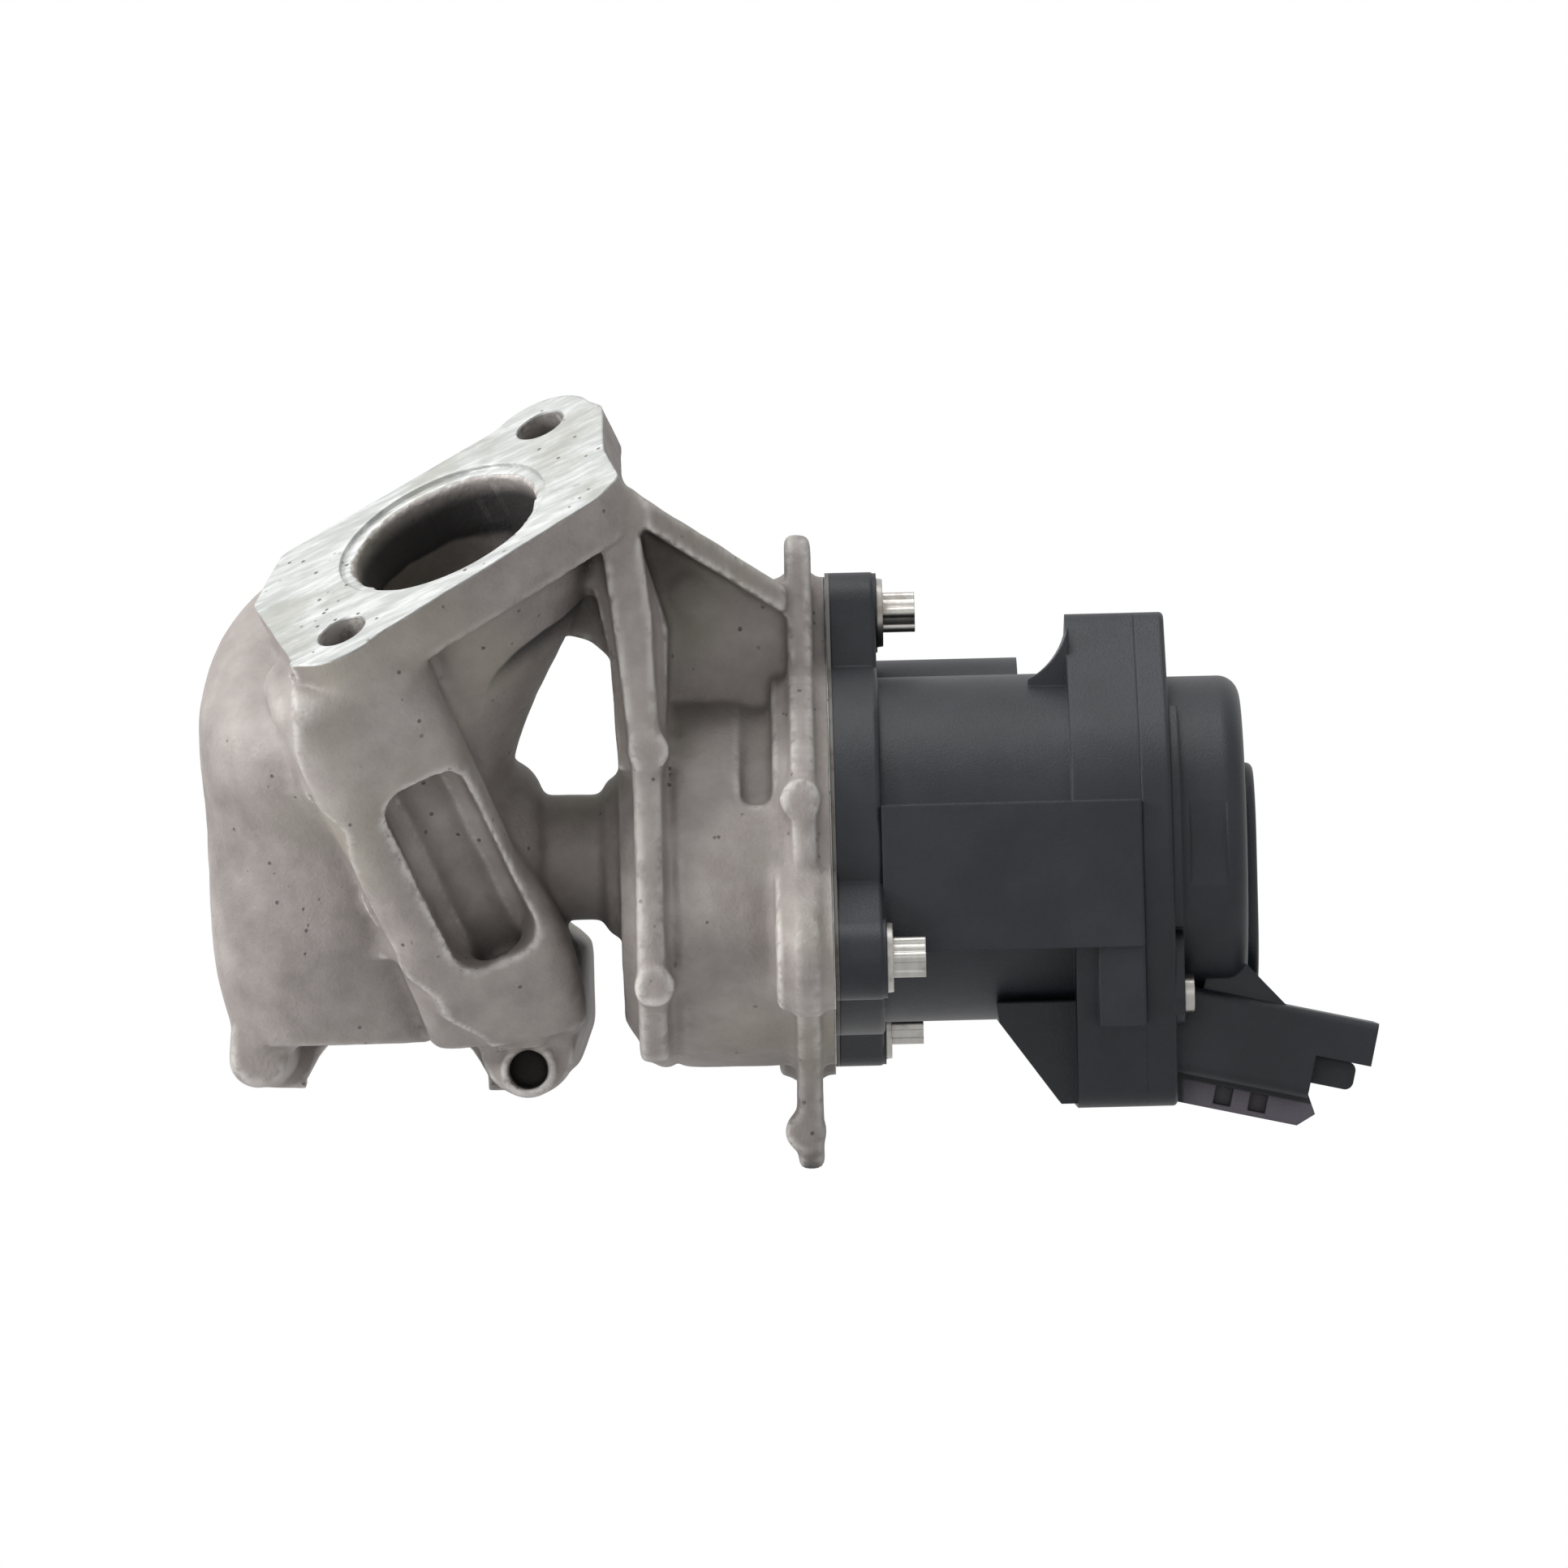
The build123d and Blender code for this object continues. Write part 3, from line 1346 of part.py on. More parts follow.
with BuildPart() as cover_seal:
    with BuildSketch(across(cover_joint)):
        add(gear_case_outline(seal_inset))
        add(gear_case_outline(seal_inset + seal_width), mode=Mode.SUBTRACT)
    extrude(amount=-seal_height)
cover_seal.part.label = "cover_seal"
export_step(cover_seal.part, "parts/cover_seal.step")

tilt = radians(connector_tilt)
connector_start = Plane(
    origin=(connector_start_x, stem_y + connector_y, connector_start_z),
    x_dir=(0, 1, 0),
    z_dir=(cos(tilt), 0, -sin(tilt)),
)
# the connector seen from its side, with its own x running out along it and its y up
connector_side = Plane(origin=connector_start.origin, x_dir=connector_start.z_dir, z_dir=(0, -1, 0))
pin_places = [((number - (pin_count - 1) / 2) * pin_pitch, pin_up) for number in range(pin_count)]
pin_left = connector_length - socket_depth - 8.0
dome_inside = dome_right - dome_wall
board_posts = [(17.5 * cos(angle), 17.5 * sin(angle)) for angle in (pi / 6, 5 * pi / 6, 3 * pi / 2)]
under = -connector_height / 2
seat_depth = cover_right - cover_screw_head

with BuildPart() as gear_cover:
    with BuildSketch(across(cover_joint)):
        add(gear_case_outline(0.0))
    extrude(amount=cover_right - cover_joint)
    fillet(gear_cover.faces().sort_by(Axis.X)[-1].edges(), 0.8)
    # raised ring round the dome, cut straight above and below
    with BuildSketch(across(cover_joint)):
        Circle(dome_ring_r)
        with Locations((0, dome_ring_bottom)):
            Rectangle(
                2 * dome_ring_r,
                dome_ring_top - dome_ring_bottom,
                align=(Align.CENTER, Align.MIN),
                mode=Mode.INTERSECT,
            )
        with BuildSketch(mode=Mode.PRIVATE) as raised_boss:
            with Locations(raised_screw, (raised_screw[0], raised_screw[1] + 6.0)):
                Circle(boss_screw_r + 3.4)
            make_hull()
        add(raised_boss.sketch)
    extrude(amount=dome_ring_right - cover_joint)
    with BuildSketch(across(cover_joint)):
        Circle(dome_r)
    extrude(amount=dome_right - cover_joint)
    fillet(gear_cover.faces().sort_by(Axis.X)[-1].edges(), dome_edge)
    with BuildSketch(across(dome_right - 1.0)):
        with Locations((0, 0), (0, -crown_drop)):
            Circle(crown_r)
        make_hull()
    extrude(amount=crown_right - dome_right + 1.0)
    fillet(gear_cover.faces().sort_by(Axis.X)[-1].edges(), 1.2)
    with BuildSketch(facing(stem_y - dome_r + dome_flat)):
        with Locations(((dome_ring_right + dome_right - dome_edge) / 2 + 0.8, 0.5)):
            RectangleRounded(6.0, 23.0, 1.0)
    extrude(amount=2 * dome_flat, mode=Mode.SUBTRACT)
    # connector hood, and the sloping shoulder that joins it to the dome
    with BuildSketch(connector_start.offset(-3.0)):
        RectangleRounded(connector_width, connector_height, 1.8)
    extrude(amount=connector_length + 3.0)
    with BuildSketch(facing(stem_y + connector_y)):
        with BuildLine():
            Polyline((148.0, -16.0), (153.2, -20.2), (159.5, -27.0), (159.5, -31.0), (144.0, -31.0), close=True)
        make_face()
    extrude(amount=connector_width / 2 - 2.0, both=True)
    with BuildSketch(connector_side):
        with Locations((lower_wall_length, 0.0)):
            Rectangle(
                connector_length,
                connector_height,
                align=(Align.MIN, Align.MAX),
            )
    extrude(amount=connector_width, both=True, mode=Mode.SUBTRACT)
    with BuildSketch(connector_start.offset(connector_length - socket_depth)):
        RectangleRounded(connector_width - 2 * connector_wall, connector_height - 2 * connector_wall, 1.0)
    extrude(amount=socket_depth, mode=Mode.SUBTRACT)
    with BuildSketch(connector_side):
        with Locations((connector_length - socket_depth - 1.0, 0.0)):
            Rectangle(
                tongue_length - connector_length + socket_depth + 1.0,
                tongue_height,
                align=(Align.MIN, Align.MAX),
            )
        fillet(vertices().group_by(Axis.X)[-1], 1.4)
    extrude(amount=tongue_width / 2, both=True)
    # latch rail under the connector, with two pockets in its front
    with BuildSketch(connector_side):
        with BuildLine():
            Polyline(
                (-1.0, under + 1.0),
                (rail_length - 2.0, under + 1.0),
                (rail_length, under - rail_height / 2),
                (rail_length - 2.6, under - rail_height),
                (-1.0, under - rail_height),
                close=True,
            )
        make_face()
    extrude(amount=rail_width / 2, both=True)
    with BuildSketch(connector_side.offset(rail_width / 2)):
        with Locations((9.2, under - rail_height / 2), (15.0, under - rail_height / 2)):
            Rectangle(2.9, 3.0)
    extrude(amount=-2.0, mode=Mode.SUBTRACT)
    with BuildSketch(connector_start.offset(pin_left)):
        with Locations(*pin_places):
            Rectangle(pin_width, pin_height)
    extrude(amount=connector_length - socket_depth - pin_left, mode=Mode.SUBTRACT)
    # space for gears, sensor board and bush
    with BuildSketch(across(cover_joint)):
        add(gear_space_outline())
    extrude(amount=1.2, mode=Mode.SUBTRACT)
    with BuildSketch(across(cover_joint)):
        Circle(dome_r - dome_wall)
    extrude(amount=dome_inside - cover_joint, mode=Mode.SUBTRACT)
    with BuildSketch(across(board_left + board_thickness)):
        with Locations(*board_posts):
            Circle(1.8)
    extrude(amount=dome_inside - board_left - board_thickness)
    with BuildSketch(across(journal_left + 1.4)):
        Circle(bush_outer_r + 1.5)
    extrude(amount=dome_inside - journal_left - 1.4)
    with BuildSketch(across(journal_left + 1.4)):
        Circle(bush_outer_r)
    extrude(amount=bush_length, mode=Mode.SUBTRACT)
    with BuildSketch(across(cover_joint, idler_back, idler_up)):
        Circle(idler_pin_r)
    extrude(amount=idler_pin_right - cover_joint, mode=Mode.SUBTRACT)
    with BuildSketch(across(cover_joint)):
        with Locations(*cover_screw_places):
            Circle(cover_screw_r + free_gap)
    extrude(amount=dome_ring_right - cover_joint, mode=Mode.SUBTRACT)
    with BuildSketch(across(seat_depth)):
        with Locations(*sunk_screws):
            Circle(cover_screw_head_r + free_gap)
    extrude(amount=dome_ring_right - seat_depth, mode=Mode.SUBTRACT)
gear_cover.part.label = "gear_cover"
export_step(gear_cover.part, "parts/gear_cover.step")

journal_bush_part = tube(journal_left + 1.4, bush_outer_r, journal_r + running_gap, bush_length)
journal_bush_part.label = "journal_bush"
export_step(journal_bush_part, "parts/journal_bush.step")

with BuildPart() as cover_screws:
    for places, under_head in ((sunk_screws, seat_depth), ([raised_screw], dome_ring_right)):
        with BuildSketch(across(under_head)):
            with Locations(*places):
                Circle(cover_screw_head_r)
        extrude(amount=cover_screw_head)
        with BuildSketch(across(under_head)):
            with Locations(*places):
                Circle(cover_screw_r)
        extrude(amount=-cover_screw_length)
cover_screws.part.label = "cover_screws"
export_step(cover_screws.part, "parts/cover_screws.step")

with BuildPart() as sensor_board:
    with BuildSketch(across(board_left)):
        Circle(board_r)
        Circle(bush_outer_r + 2.2, mode=Mode.SUBTRACT)
    extrude(amount=board_thickness)
    with BuildSketch(across(board_left)):
        with Locations((0, magnet_ring_r)):
            Rectangle(4.2, 3.4)
    extrude(amount=-1.2)
sensor_board.part.label = "sensor_board"
export_step(sensor_board.part, "parts/sensor_board.step")

with BuildPart() as connector_terminals:
    with BuildSketch(connector_start.offset(pin_left)):
        with Locations(*pin_places):
            Rectangle(pin_width, pin_height)
    extrude(amount=pin_end - pin_left)
connector_terminals.part.label = "connector_terminals"
export_step(connector_terminals.part, "parts/connector_terminals.step")
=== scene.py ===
# %% [markdown]
# # Electric exhaust gas recirculation valve
# The valve is a rough aluminium casting that carries hot gas, with a black moulded actuator bolted to
# it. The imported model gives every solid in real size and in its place, so this notebook adds what a
# solid model doesn't have: light, a camera and the finish of each surface. The frame is loaded first,
# because every later cell measures from it.

# %% Load the frame
import json
from math import cos, radians, sin

import bmesh
import bpy
from mathutils import Matrix, Vector

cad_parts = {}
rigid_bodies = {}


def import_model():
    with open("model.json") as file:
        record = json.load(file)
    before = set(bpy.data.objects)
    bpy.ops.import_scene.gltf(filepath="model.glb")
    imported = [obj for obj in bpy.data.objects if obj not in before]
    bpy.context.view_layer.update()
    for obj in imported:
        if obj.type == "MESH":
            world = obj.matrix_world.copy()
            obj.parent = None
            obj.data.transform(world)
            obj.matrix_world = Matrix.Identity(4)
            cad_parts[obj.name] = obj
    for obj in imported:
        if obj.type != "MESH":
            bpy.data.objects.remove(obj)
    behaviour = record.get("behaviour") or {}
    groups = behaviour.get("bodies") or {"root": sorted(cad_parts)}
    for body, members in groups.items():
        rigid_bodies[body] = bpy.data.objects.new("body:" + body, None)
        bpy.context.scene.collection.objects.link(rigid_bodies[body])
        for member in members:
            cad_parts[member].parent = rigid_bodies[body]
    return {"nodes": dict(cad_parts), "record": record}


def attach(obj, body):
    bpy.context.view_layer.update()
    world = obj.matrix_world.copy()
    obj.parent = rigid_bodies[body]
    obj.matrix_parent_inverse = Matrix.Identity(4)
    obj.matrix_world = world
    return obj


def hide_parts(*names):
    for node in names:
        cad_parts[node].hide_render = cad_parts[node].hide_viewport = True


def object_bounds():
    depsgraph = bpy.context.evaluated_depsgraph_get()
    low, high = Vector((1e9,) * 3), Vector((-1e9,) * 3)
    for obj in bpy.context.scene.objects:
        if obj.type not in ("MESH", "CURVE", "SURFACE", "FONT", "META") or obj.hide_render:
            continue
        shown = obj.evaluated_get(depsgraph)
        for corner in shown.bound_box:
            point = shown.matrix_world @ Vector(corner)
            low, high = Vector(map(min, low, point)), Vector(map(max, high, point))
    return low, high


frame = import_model()
nodes = frame["nodes"]
cad_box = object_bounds()
print("nodes", len(nodes), "box", [tuple(round(v, 4) for v in corner) for corner in cad_box])

# %% [markdown]
# ## The camera
# A small part on a table is best taken with a long lens from some way off, because a short lens close
# by makes the near flange look too big. Here the camera stands two metres away and looks straight at
# the front of the valve. The lens follows from the width of the field at the stem, so the distance can
# be changed without changing the size in the picture. The camera leans a little to one side.

# %% The camera
MM = 0.001
field_width = 259.3 * MM
camera_distance = 2.0
aim = Vector((77.96, -42.0, 11.28)) * MM
lean = radians(1.4)

camera_data = bpy.data.cameras.new("product_camera")
camera_data.sensor_width = 36.0
camera_data.lens = camera_data.sensor_width * camera_distance / field_width
camera_data.clip_end = 50.0
camera = bpy.data.objects.new("product_camera", camera_data)
bpy.context.scene.collection.objects.link(camera)
camera.matrix_world = (
    Matrix.Translation(aim - Vector((0, camera_distance, 0)))
    @ Matrix.Rotation(radians(90), 4, "X")
    @ Matrix.Rotation(-lean, 4, "Z")
)
bpy.context.scene.camera = camera
print("lens", round(camera_data.lens, 1), "mm")

# %% [markdown]
# ## White ground and soft light
# The valve is seen on plain white. A floor lies just under the lowest tip of the casting. To camera,
# mirror and glass rays the floor and the world are pure white, and to all other rays they are a dim
# grey, so the background is white and no extra light falls on the part. Four soft lamps give the
# light: one above, which makes the tilted flange face bright, a smaller one at the upper left, whose
# harder shadow puts the drum and the gusset in the shade, and two weak ones at the front and right.

# %% World and floor
scene = bpy.context.scene
scene.view_settings.view_transform = "Standard"


def white_to_camera(tree, plain, target):
    """Feeds target with white for camera, glossy and transmission rays, and with plain for the rest."""
    path = tree.nodes.new("ShaderNodeLightPath")
    seen = path.outputs["Is Camera Ray"]
    for ray in ("Is Glossy Ray", "Is Transmission Ray"):
        either = tree.nodes.new("ShaderNodeMath")
        either.operation = "MAXIMUM"
        tree.links.new(seen, either.inputs[0])
        tree.links.new(path.outputs[ray], either.inputs[1])
        seen = either.outputs[0]
    surface = target.node.type == "OUTPUT_MATERIAL"
    white = tree.nodes.new("ShaderNodeEmission" if surface else "ShaderNodeBackground")
    white.inputs["Color"].default_value = (1, 1, 1, 1)
    white.inputs["Strength"].default_value = 1.0
    mix = tree.nodes.new("ShaderNodeMixShader")
    tree.links.new(seen, mix.inputs["Fac"])
    tree.links.new(plain, mix.inputs[1])
    tree.links.new(white.outputs[0], mix.inputs[2])
    tree.links.new(mix.outputs[0], target)


room_colour = (0.93, 0.95, 1.0, 1)
room_strength = 0.15
world = bpy.data.worlds.new("white_room")
world.use_nodes = True
scene.world = world
room = world.node_tree
room.nodes.clear()
room_out = room.nodes.new("ShaderNodeOutputWorld")
room_light = room.nodes.new("ShaderNodeBackground")
room_light.inputs["Color"].default_value = room_colour
room_light.inputs["Strength"].default_value = room_strength
white_to_camera(room, room_light.outputs[0], room_out.inputs["Surface"])

floor_reach = 4.0
floor_gap = 0.5 * MM
floor_colour = (0.82, 0.81, 0.82, 1)
floor_roughness = 0.9
floor_mesh = bpy.data.meshes.new("floor")
floor_corners = [(x * floor_reach, y * floor_reach, 0) for x, y in ((-1, -1), (1, -1), (1, 1), (-1, 1))]
floor_mesh.from_pydata(floor_corners, [], [(0, 1, 2, 3)])
floor = bpy.data.objects.new("floor", floor_mesh)
floor.location = (0, 0, cad_box[0].z - floor_gap)
scene.collection.objects.link(floor)
floor_material = bpy.data.materials.new("floor_white")
floor_material.use_nodes = True
floor_mesh.materials.append(floor_material)
floor_tree = floor_material.node_tree
floor_surface = floor_tree.nodes["Principled BSDF"]
floor_surface.inputs["Base Color"].default_value = floor_colour
floor_surface.inputs["Roughness"].default_value = floor_roughness
print("floor at", round(floor.location.z, 4))

# %% Lamps
lamps = (
    ("lamp_above", (-0.10, -0.15, 0.90), 0.6, 6.0),
    ("lamp_left", (-0.85, -0.36, 0.44), 0.3, 10.5),
    ("lamp_front", (-0.20, -1.20, 0.10), 0.8, 2.2),
    ("lamp_right", (0.85, -0.60, 0.45), 0.5, 0.6),
)
for name, place, side, power in lamps:
    data = bpy.data.lights.new(name, "AREA")
    data.shape = "SQUARE"
    data.size = side
    data.energy = power
    lamp = bpy.data.objects.new(name, data)
    lamp.location = place
    lamp.rotation_euler = (aim - Vector(place)).to_track_quat("-Z", "Y").to_euler()
    scene.collection.objects.link(lamp)
    print(name, power, "W")

# %% [markdown]
# ## Where the casting is machined
# A die casting is cut only where it seals or bolts on. Three faces are milled flat: the inlet flange,
# the outlet face at the rear and the joint with the actuator. The inlet flange leans to the left and
# to the front, so its bore, its gasket step and its bolt holes are placed from its own centre and
# normal. The lower bolt hole goes on, narrower, until it comes out in the slot of the bolt column.

# %% Milled faces and drilled holes
inlet_centre = Vector((23.1, -67.0, 54.6)) * MM
inlet_tilt = radians(24.3)
inlet_pitch = radians(26.0)
inlet_up = Vector((-sin(inlet_tilt), 0, cos(inlet_tilt)))
inlet_normal = inlet_up * cos(inlet_pitch) - Vector((0, 1, 0)) * sin(inlet_pitch)
inlet_right = Vector((cos(inlet_tilt), 0, sin(inlet_tilt)))
actuator_face = 85.5 * MM
milled_faces = (
    ("inlet", inlet_centre, inlet_normal),
    ("rear", Vector((0, 0, 0)), Vector((0, 1, 0))),
    ("actuator", Vector((actuator_face, 0, 0)), Vector((1, 0, 0))),
)
inlet_bore_r = 16.0 * MM
bore_depth = 9.4 * MM
inlet_step_r = 18.3 * MM
step_depth = 0.8 * MM
bolt_r = 4.25 * MM
upper_bolt_depth = 16.0 * MM
lower_bolt_depth = 26.0 * MM
pilot_r = 3.0 * MM
pilot_depth = 72.0 * MM
bolt_reach = 29.3 * MM
bolt_turn = radians(42.5)
bolt_side = inlet_right * cos(bolt_turn) + inlet_normal.cross(inlet_right) * sin(bolt_turn)
upper_bolt = inlet_centre + bolt_side * bolt_reach
lower_bolt = inlet_centre - bolt_side * bolt_reach
drilled = (
    (inlet_centre, inlet_bore_r, bore_depth),
    (inlet_centre, inlet_step_r, step_depth),
    (upper_bolt, bolt_r, upper_bolt_depth),
    (lower_bolt, bolt_r, lower_bolt_depth),
    (lower_bolt, pilot_r, pilot_depth),
)
print("milled faces", len(milled_faces), "holes", len(drilled))

# %% [markdown]
# ## Tools that cut
# The Boolean modifier cuts one closed mesh out of another. Its Manifold solver wants clean closed
# meshes and stays fast on a fine skin. One modifier can use a whole collection, so the tools go into
# one: a block for each milled face and a cylinder for each hole. Each cylinder starts above the face by
# the allowance that the rough casting has there.

# %% Cutting tools
allowance = 3.0 * MM
cutter_size = 240 * MM
round_segments = 96


def new_object(name, shape, collection):
    """An object made from a finished bmesh."""
    mesh = bpy.data.meshes.new(name)
    shape.to_mesh(mesh)
    shape.free()
    made_object = bpy.data.objects.new(name, mesh)
    collection.objects.link(made_object)
    return made_object


def facing(normal):
    """The turn that brings +Z to a normal."""
    return normal.to_track_quat("Z", "Y").to_matrix().to_4x4()


def cutting_tools():
    """A collection of blocks that mill the flat faces and cylinders that drill the holes."""
    tools = bpy.data.collections.new("cutting_tools")
    scene.collection.children.link(tools)
    for name, point, normal in milled_faces:
        place = Matrix.Translation(point + normal * cutter_size / 2) @ facing(normal)
        shape = bmesh.new()
        bmesh.ops.create_cube(shape, size=cutter_size, matrix=place)
        new_object(name + "_mill", shape, tools)
    for number, (point, radius, depth) in enumerate(drilled):
        place = Matrix.Translation(point + inlet_normal * (allowance - depth) / 2) @ facing(inlet_normal)
        shape = bmesh.new()
        bmesh.ops.create_cone(
            shape,
            cap_ends=True,
            segments=round_segments,
            radius1=radius,
            radius2=radius,
            depth=depth + allowance,
            matrix=place,
        )
        new_object(f"drill_{number}", shape, tools)
    return tools


tools = cutting_tools()

# %% [markdown]
# ## The arch between the feet
# The rear flange stands on two feet with open air between them. The opening is one outline with a
# slightly domed top and two rounded shoulders, worked out by a formula and swept through the flange.
# It is cut before the skin is softened, so its edges come out as round as the other cast edges.

# %% The arch
arch_left = -3.6 * MM
arch_right = 27.0 * MM
arch_top = -29.8 * MM
arch_rise = 2.2 * MM
arch_low = arch_top - 30 * MM
arch_front = -40 * MM
arch_sweep = 50 * MM
arch_steps = 12
shoulder_share = 0.25
shoulder_drop = 3 * arch_rise


def arch_height(share):
    """Height of the arch at a share of its width, from 0 at the left to 1 at the right."""
    from_side = min(1.0, min(share, 1 - share) / shoulder_share)
    return arch_top - (1 - from_side) ** 2 * shoulder_drop + sin(share * radians(180)) * arch_rise


def arch_tool():
    """The open arch between the two lower feet, as a block with a curved top."""
    shape = bmesh.new()
    outline = [(arch_right, arch_low), (arch_left, arch_low)]
    for step in range(arch_steps + 1):
        share = step / arch_steps
        outline.append((arch_left + (arch_right - arch_left) * share, arch_height(share)))
    face = shape.faces.new([shape.verts.new((x, arch_front, z)) for x, z in outline])
    swept = bmesh.ops.extrude_face_region(shape, geom=[face])["geom"]
    far = [part for part in swept if isinstance(part, bmesh.types.BMVert)]
    bmesh.ops.translate(shape, verts=far, vec=(0, arch_sweep, 0))
    bmesh.ops.recalc_face_normals(shape, faces=shape.faces)
    return new_object("arch", shape, scene.collection)


arch = arch_tool()
print("arch", round((arch_right - arch_left) / MM, 1), "mm wide")

# %% [markdown]
# ## The step that curves down the front
# Where the inlet's bolt column joins the round body, the casting has a soft step in the shape of a
# long S. A few points give its line from top to bottom, and between two points the line bends
# smoothly. The skin to its right is lifted along its own normal, most of all at the line itself, and
# the lift fades out before it reaches the slot.

# %% The step
step_line = (
    (-2.8, 36.9),
    (-1.9, 20.7),
    (-0.7, 12.7),
    (5.8, 4.4),
    (7.6, -5.0),
    (13.4, -15.9),
    (19.9, -24.1),
    (27.8, -31.0),
)
lift = 1.2 * MM
lift_width = 1.9 * MM
lift_fade = 15.0 * MM
least_facing = 0.25
full_facing = 0.5


def smooth(share):
    """0 to 1 with a soft start and end."""
    return share * share * (3 - 2 * share)


def right_of_step(x, z):
    """Distance to the right of the step's line at a height, in metres."""
    for (left, top), (right, low) in zip(step_line, step_line[1:]):
        if low * MM <= z <= top * MM:
            share = smooth((top * MM - z) / ((top - low) * MM))
            return x - (left + (right - left) * share) * MM
    return lift_fade


def raise_step(mesh):
    """Lifts the front skin to the right of the line, so that a soft step runs down the body."""
    normals = [corner.normal.copy() for corner in mesh.vertices]
    for corner, normal in zip(mesh.vertices, normals):
        towards_front = -normal.y
        side = right_of_step(corner.co.x, corner.co.z)
        if towards_front < least_facing or not 0 < side < lift_fade:
            continue
        height = lift * smooth(min(1.0, side / lift_width)) * (1.0 - side / lift_fade)
        corner.co += normal * height * min(1.0, towards_front / full_facing)


print("step line", len(step_line), "points")

# %% [markdown]
# ## The skin of the casting
# A casting has no sharp inner corner. Metal flows in rounded necks from rib to wall, and the mould
# leaves every outer edge soft. Only what is machined afterwards is flat and crisp. This cell follows
# that order: it copies the solid, makes it a little too long at the three milled faces, lays a fine
# even skin over it, opens the arch, softens the skin and gives it slight lumps. Then it raises the
# step, mills the faces flat and drills the holes.

# %% The skin of the casting
weld_distance = 0.001 * MM
on_face = 0.01 * MM
skin_step = 0.75 * MM
smoothing = 0.5
smoothing_rounds = 9
lump_size = 7.0 * MM
lump_height = 0.35 * MM


def rough_casting(node):
    """A copy of a node that is too long by the allowance at each milled face."""
    shape = bmesh.new()
    shape.from_mesh(nodes[node].data)
    bmesh.ops.remove_doubles(shape, verts=shape.verts, dist=weld_distance)
    for _, point, normal in milled_faces:
        for corner in shape.verts:
            if abs((corner.co - point).dot(normal)) < on_face:
                corner.co += normal * allowance
    return new_object("casting", shape, scene.collection)


def cut(piece, name, tool):
    """Adds a Boolean that cuts an object, or all objects of a collection, out of a piece."""
    modifier = piece.modifiers.new(name, "BOOLEAN")
    modifier.solver = "MANIFOLD"
    if isinstance(tool, bpy.types.Collection):
        modifier.operand_type = "COLLECTION"
        modifier.collection = tool
    else:
        modifier.object = tool


def apply_modifiers(piece):
    """Makes what the modifiers show the piece's own mesh."""
    shown = piece.evaluated_get(bpy.context.evaluated_depsgraph_get())
    piece.data = bpy.data.meshes.new_from_object(shown)
    piece.modifiers.clear()


def soften(piece):
    """Lays an even skin over a rough casting, opens the arch and makes the skin soft and lumpy."""
    skin = piece.modifiers.new("skin", "REMESH")
    skin.mode = "VOXEL"
    skin.voxel_size = skin_step
    cut(piece, "arch", arch)
    soft = piece.modifiers.new("soft", "SMOOTH")
    soft.factor = smoothing
    soft.iterations = smoothing_rounds
    lumps = piece.modifiers.new("lumps", "DISPLACE")
    lumps.texture = bpy.data.textures.new("cast_lumps", "CLOUDS")
    lumps.texture.noise_scale = lump_size
    lumps.texture_coords = "LOCAL"
    lumps.strength = lump_height
    apply_modifiers(piece)


casting = rough_casting("valve_housing")
soften(casting)
raise_step(casting.data)
cut(casting, "machining", tools)
apply_modifiers(casting)
for tool in [arch, *tools.objects]:
    bpy.data.objects.remove(tool)
bpy.data.collections.remove(tools)
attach(casting, "housing")
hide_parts("valve_housing")
print("casting skin", len(casting.data.polygons), "faces")

# %% [markdown]
# ## A small language for finishes
# A finish is a sum of masks and noises. Written as nodes and links such a sum is hard to read, so one
# small class wraps a socket and lets Python's own signs add the Math nodes. A second class holds the
# material and adds any other node in one call: its type, its settings, then its inputs.

# %% Shader maths


class Signal:
    """A value that changes over a surface, such as a noise or a mask."""

    def __init__(self, finish, socket):
        self.finish = finish
        self.socket = socket

    def math(self, operation, *values):
        """One Math node."""
        return self.finish.node("ShaderNodeMath", {"operation": operation}, dict(enumerate(values)))

    def __add__(self, other):
        return self.math("ADD", self, other)

    def __radd__(self, other):
        return self.math("ADD", other, self)

    def __sub__(self, other):
        return self.math("SUBTRACT", self, other)

    def __rsub__(self, other):
        return self.math("SUBTRACT", other, self)

    def __mul__(self, other):
        return self.math("MULTIPLY", self, other)

    def __or__(self, other):
        """The larger of two masks."""
        return self.math("MAXIMUM", self, other)

    def between(self, low, high):
        """0 below low, 1 above high, and a smooth step from one to the other."""
        ranges = {0: self, 1: low, 2: high, 3: 0.0, 4: 1.0}
        return self.finish.node("ShaderNodeMapRange", {"interpolation_type": "SMOOTHSTEP"}, ranges)


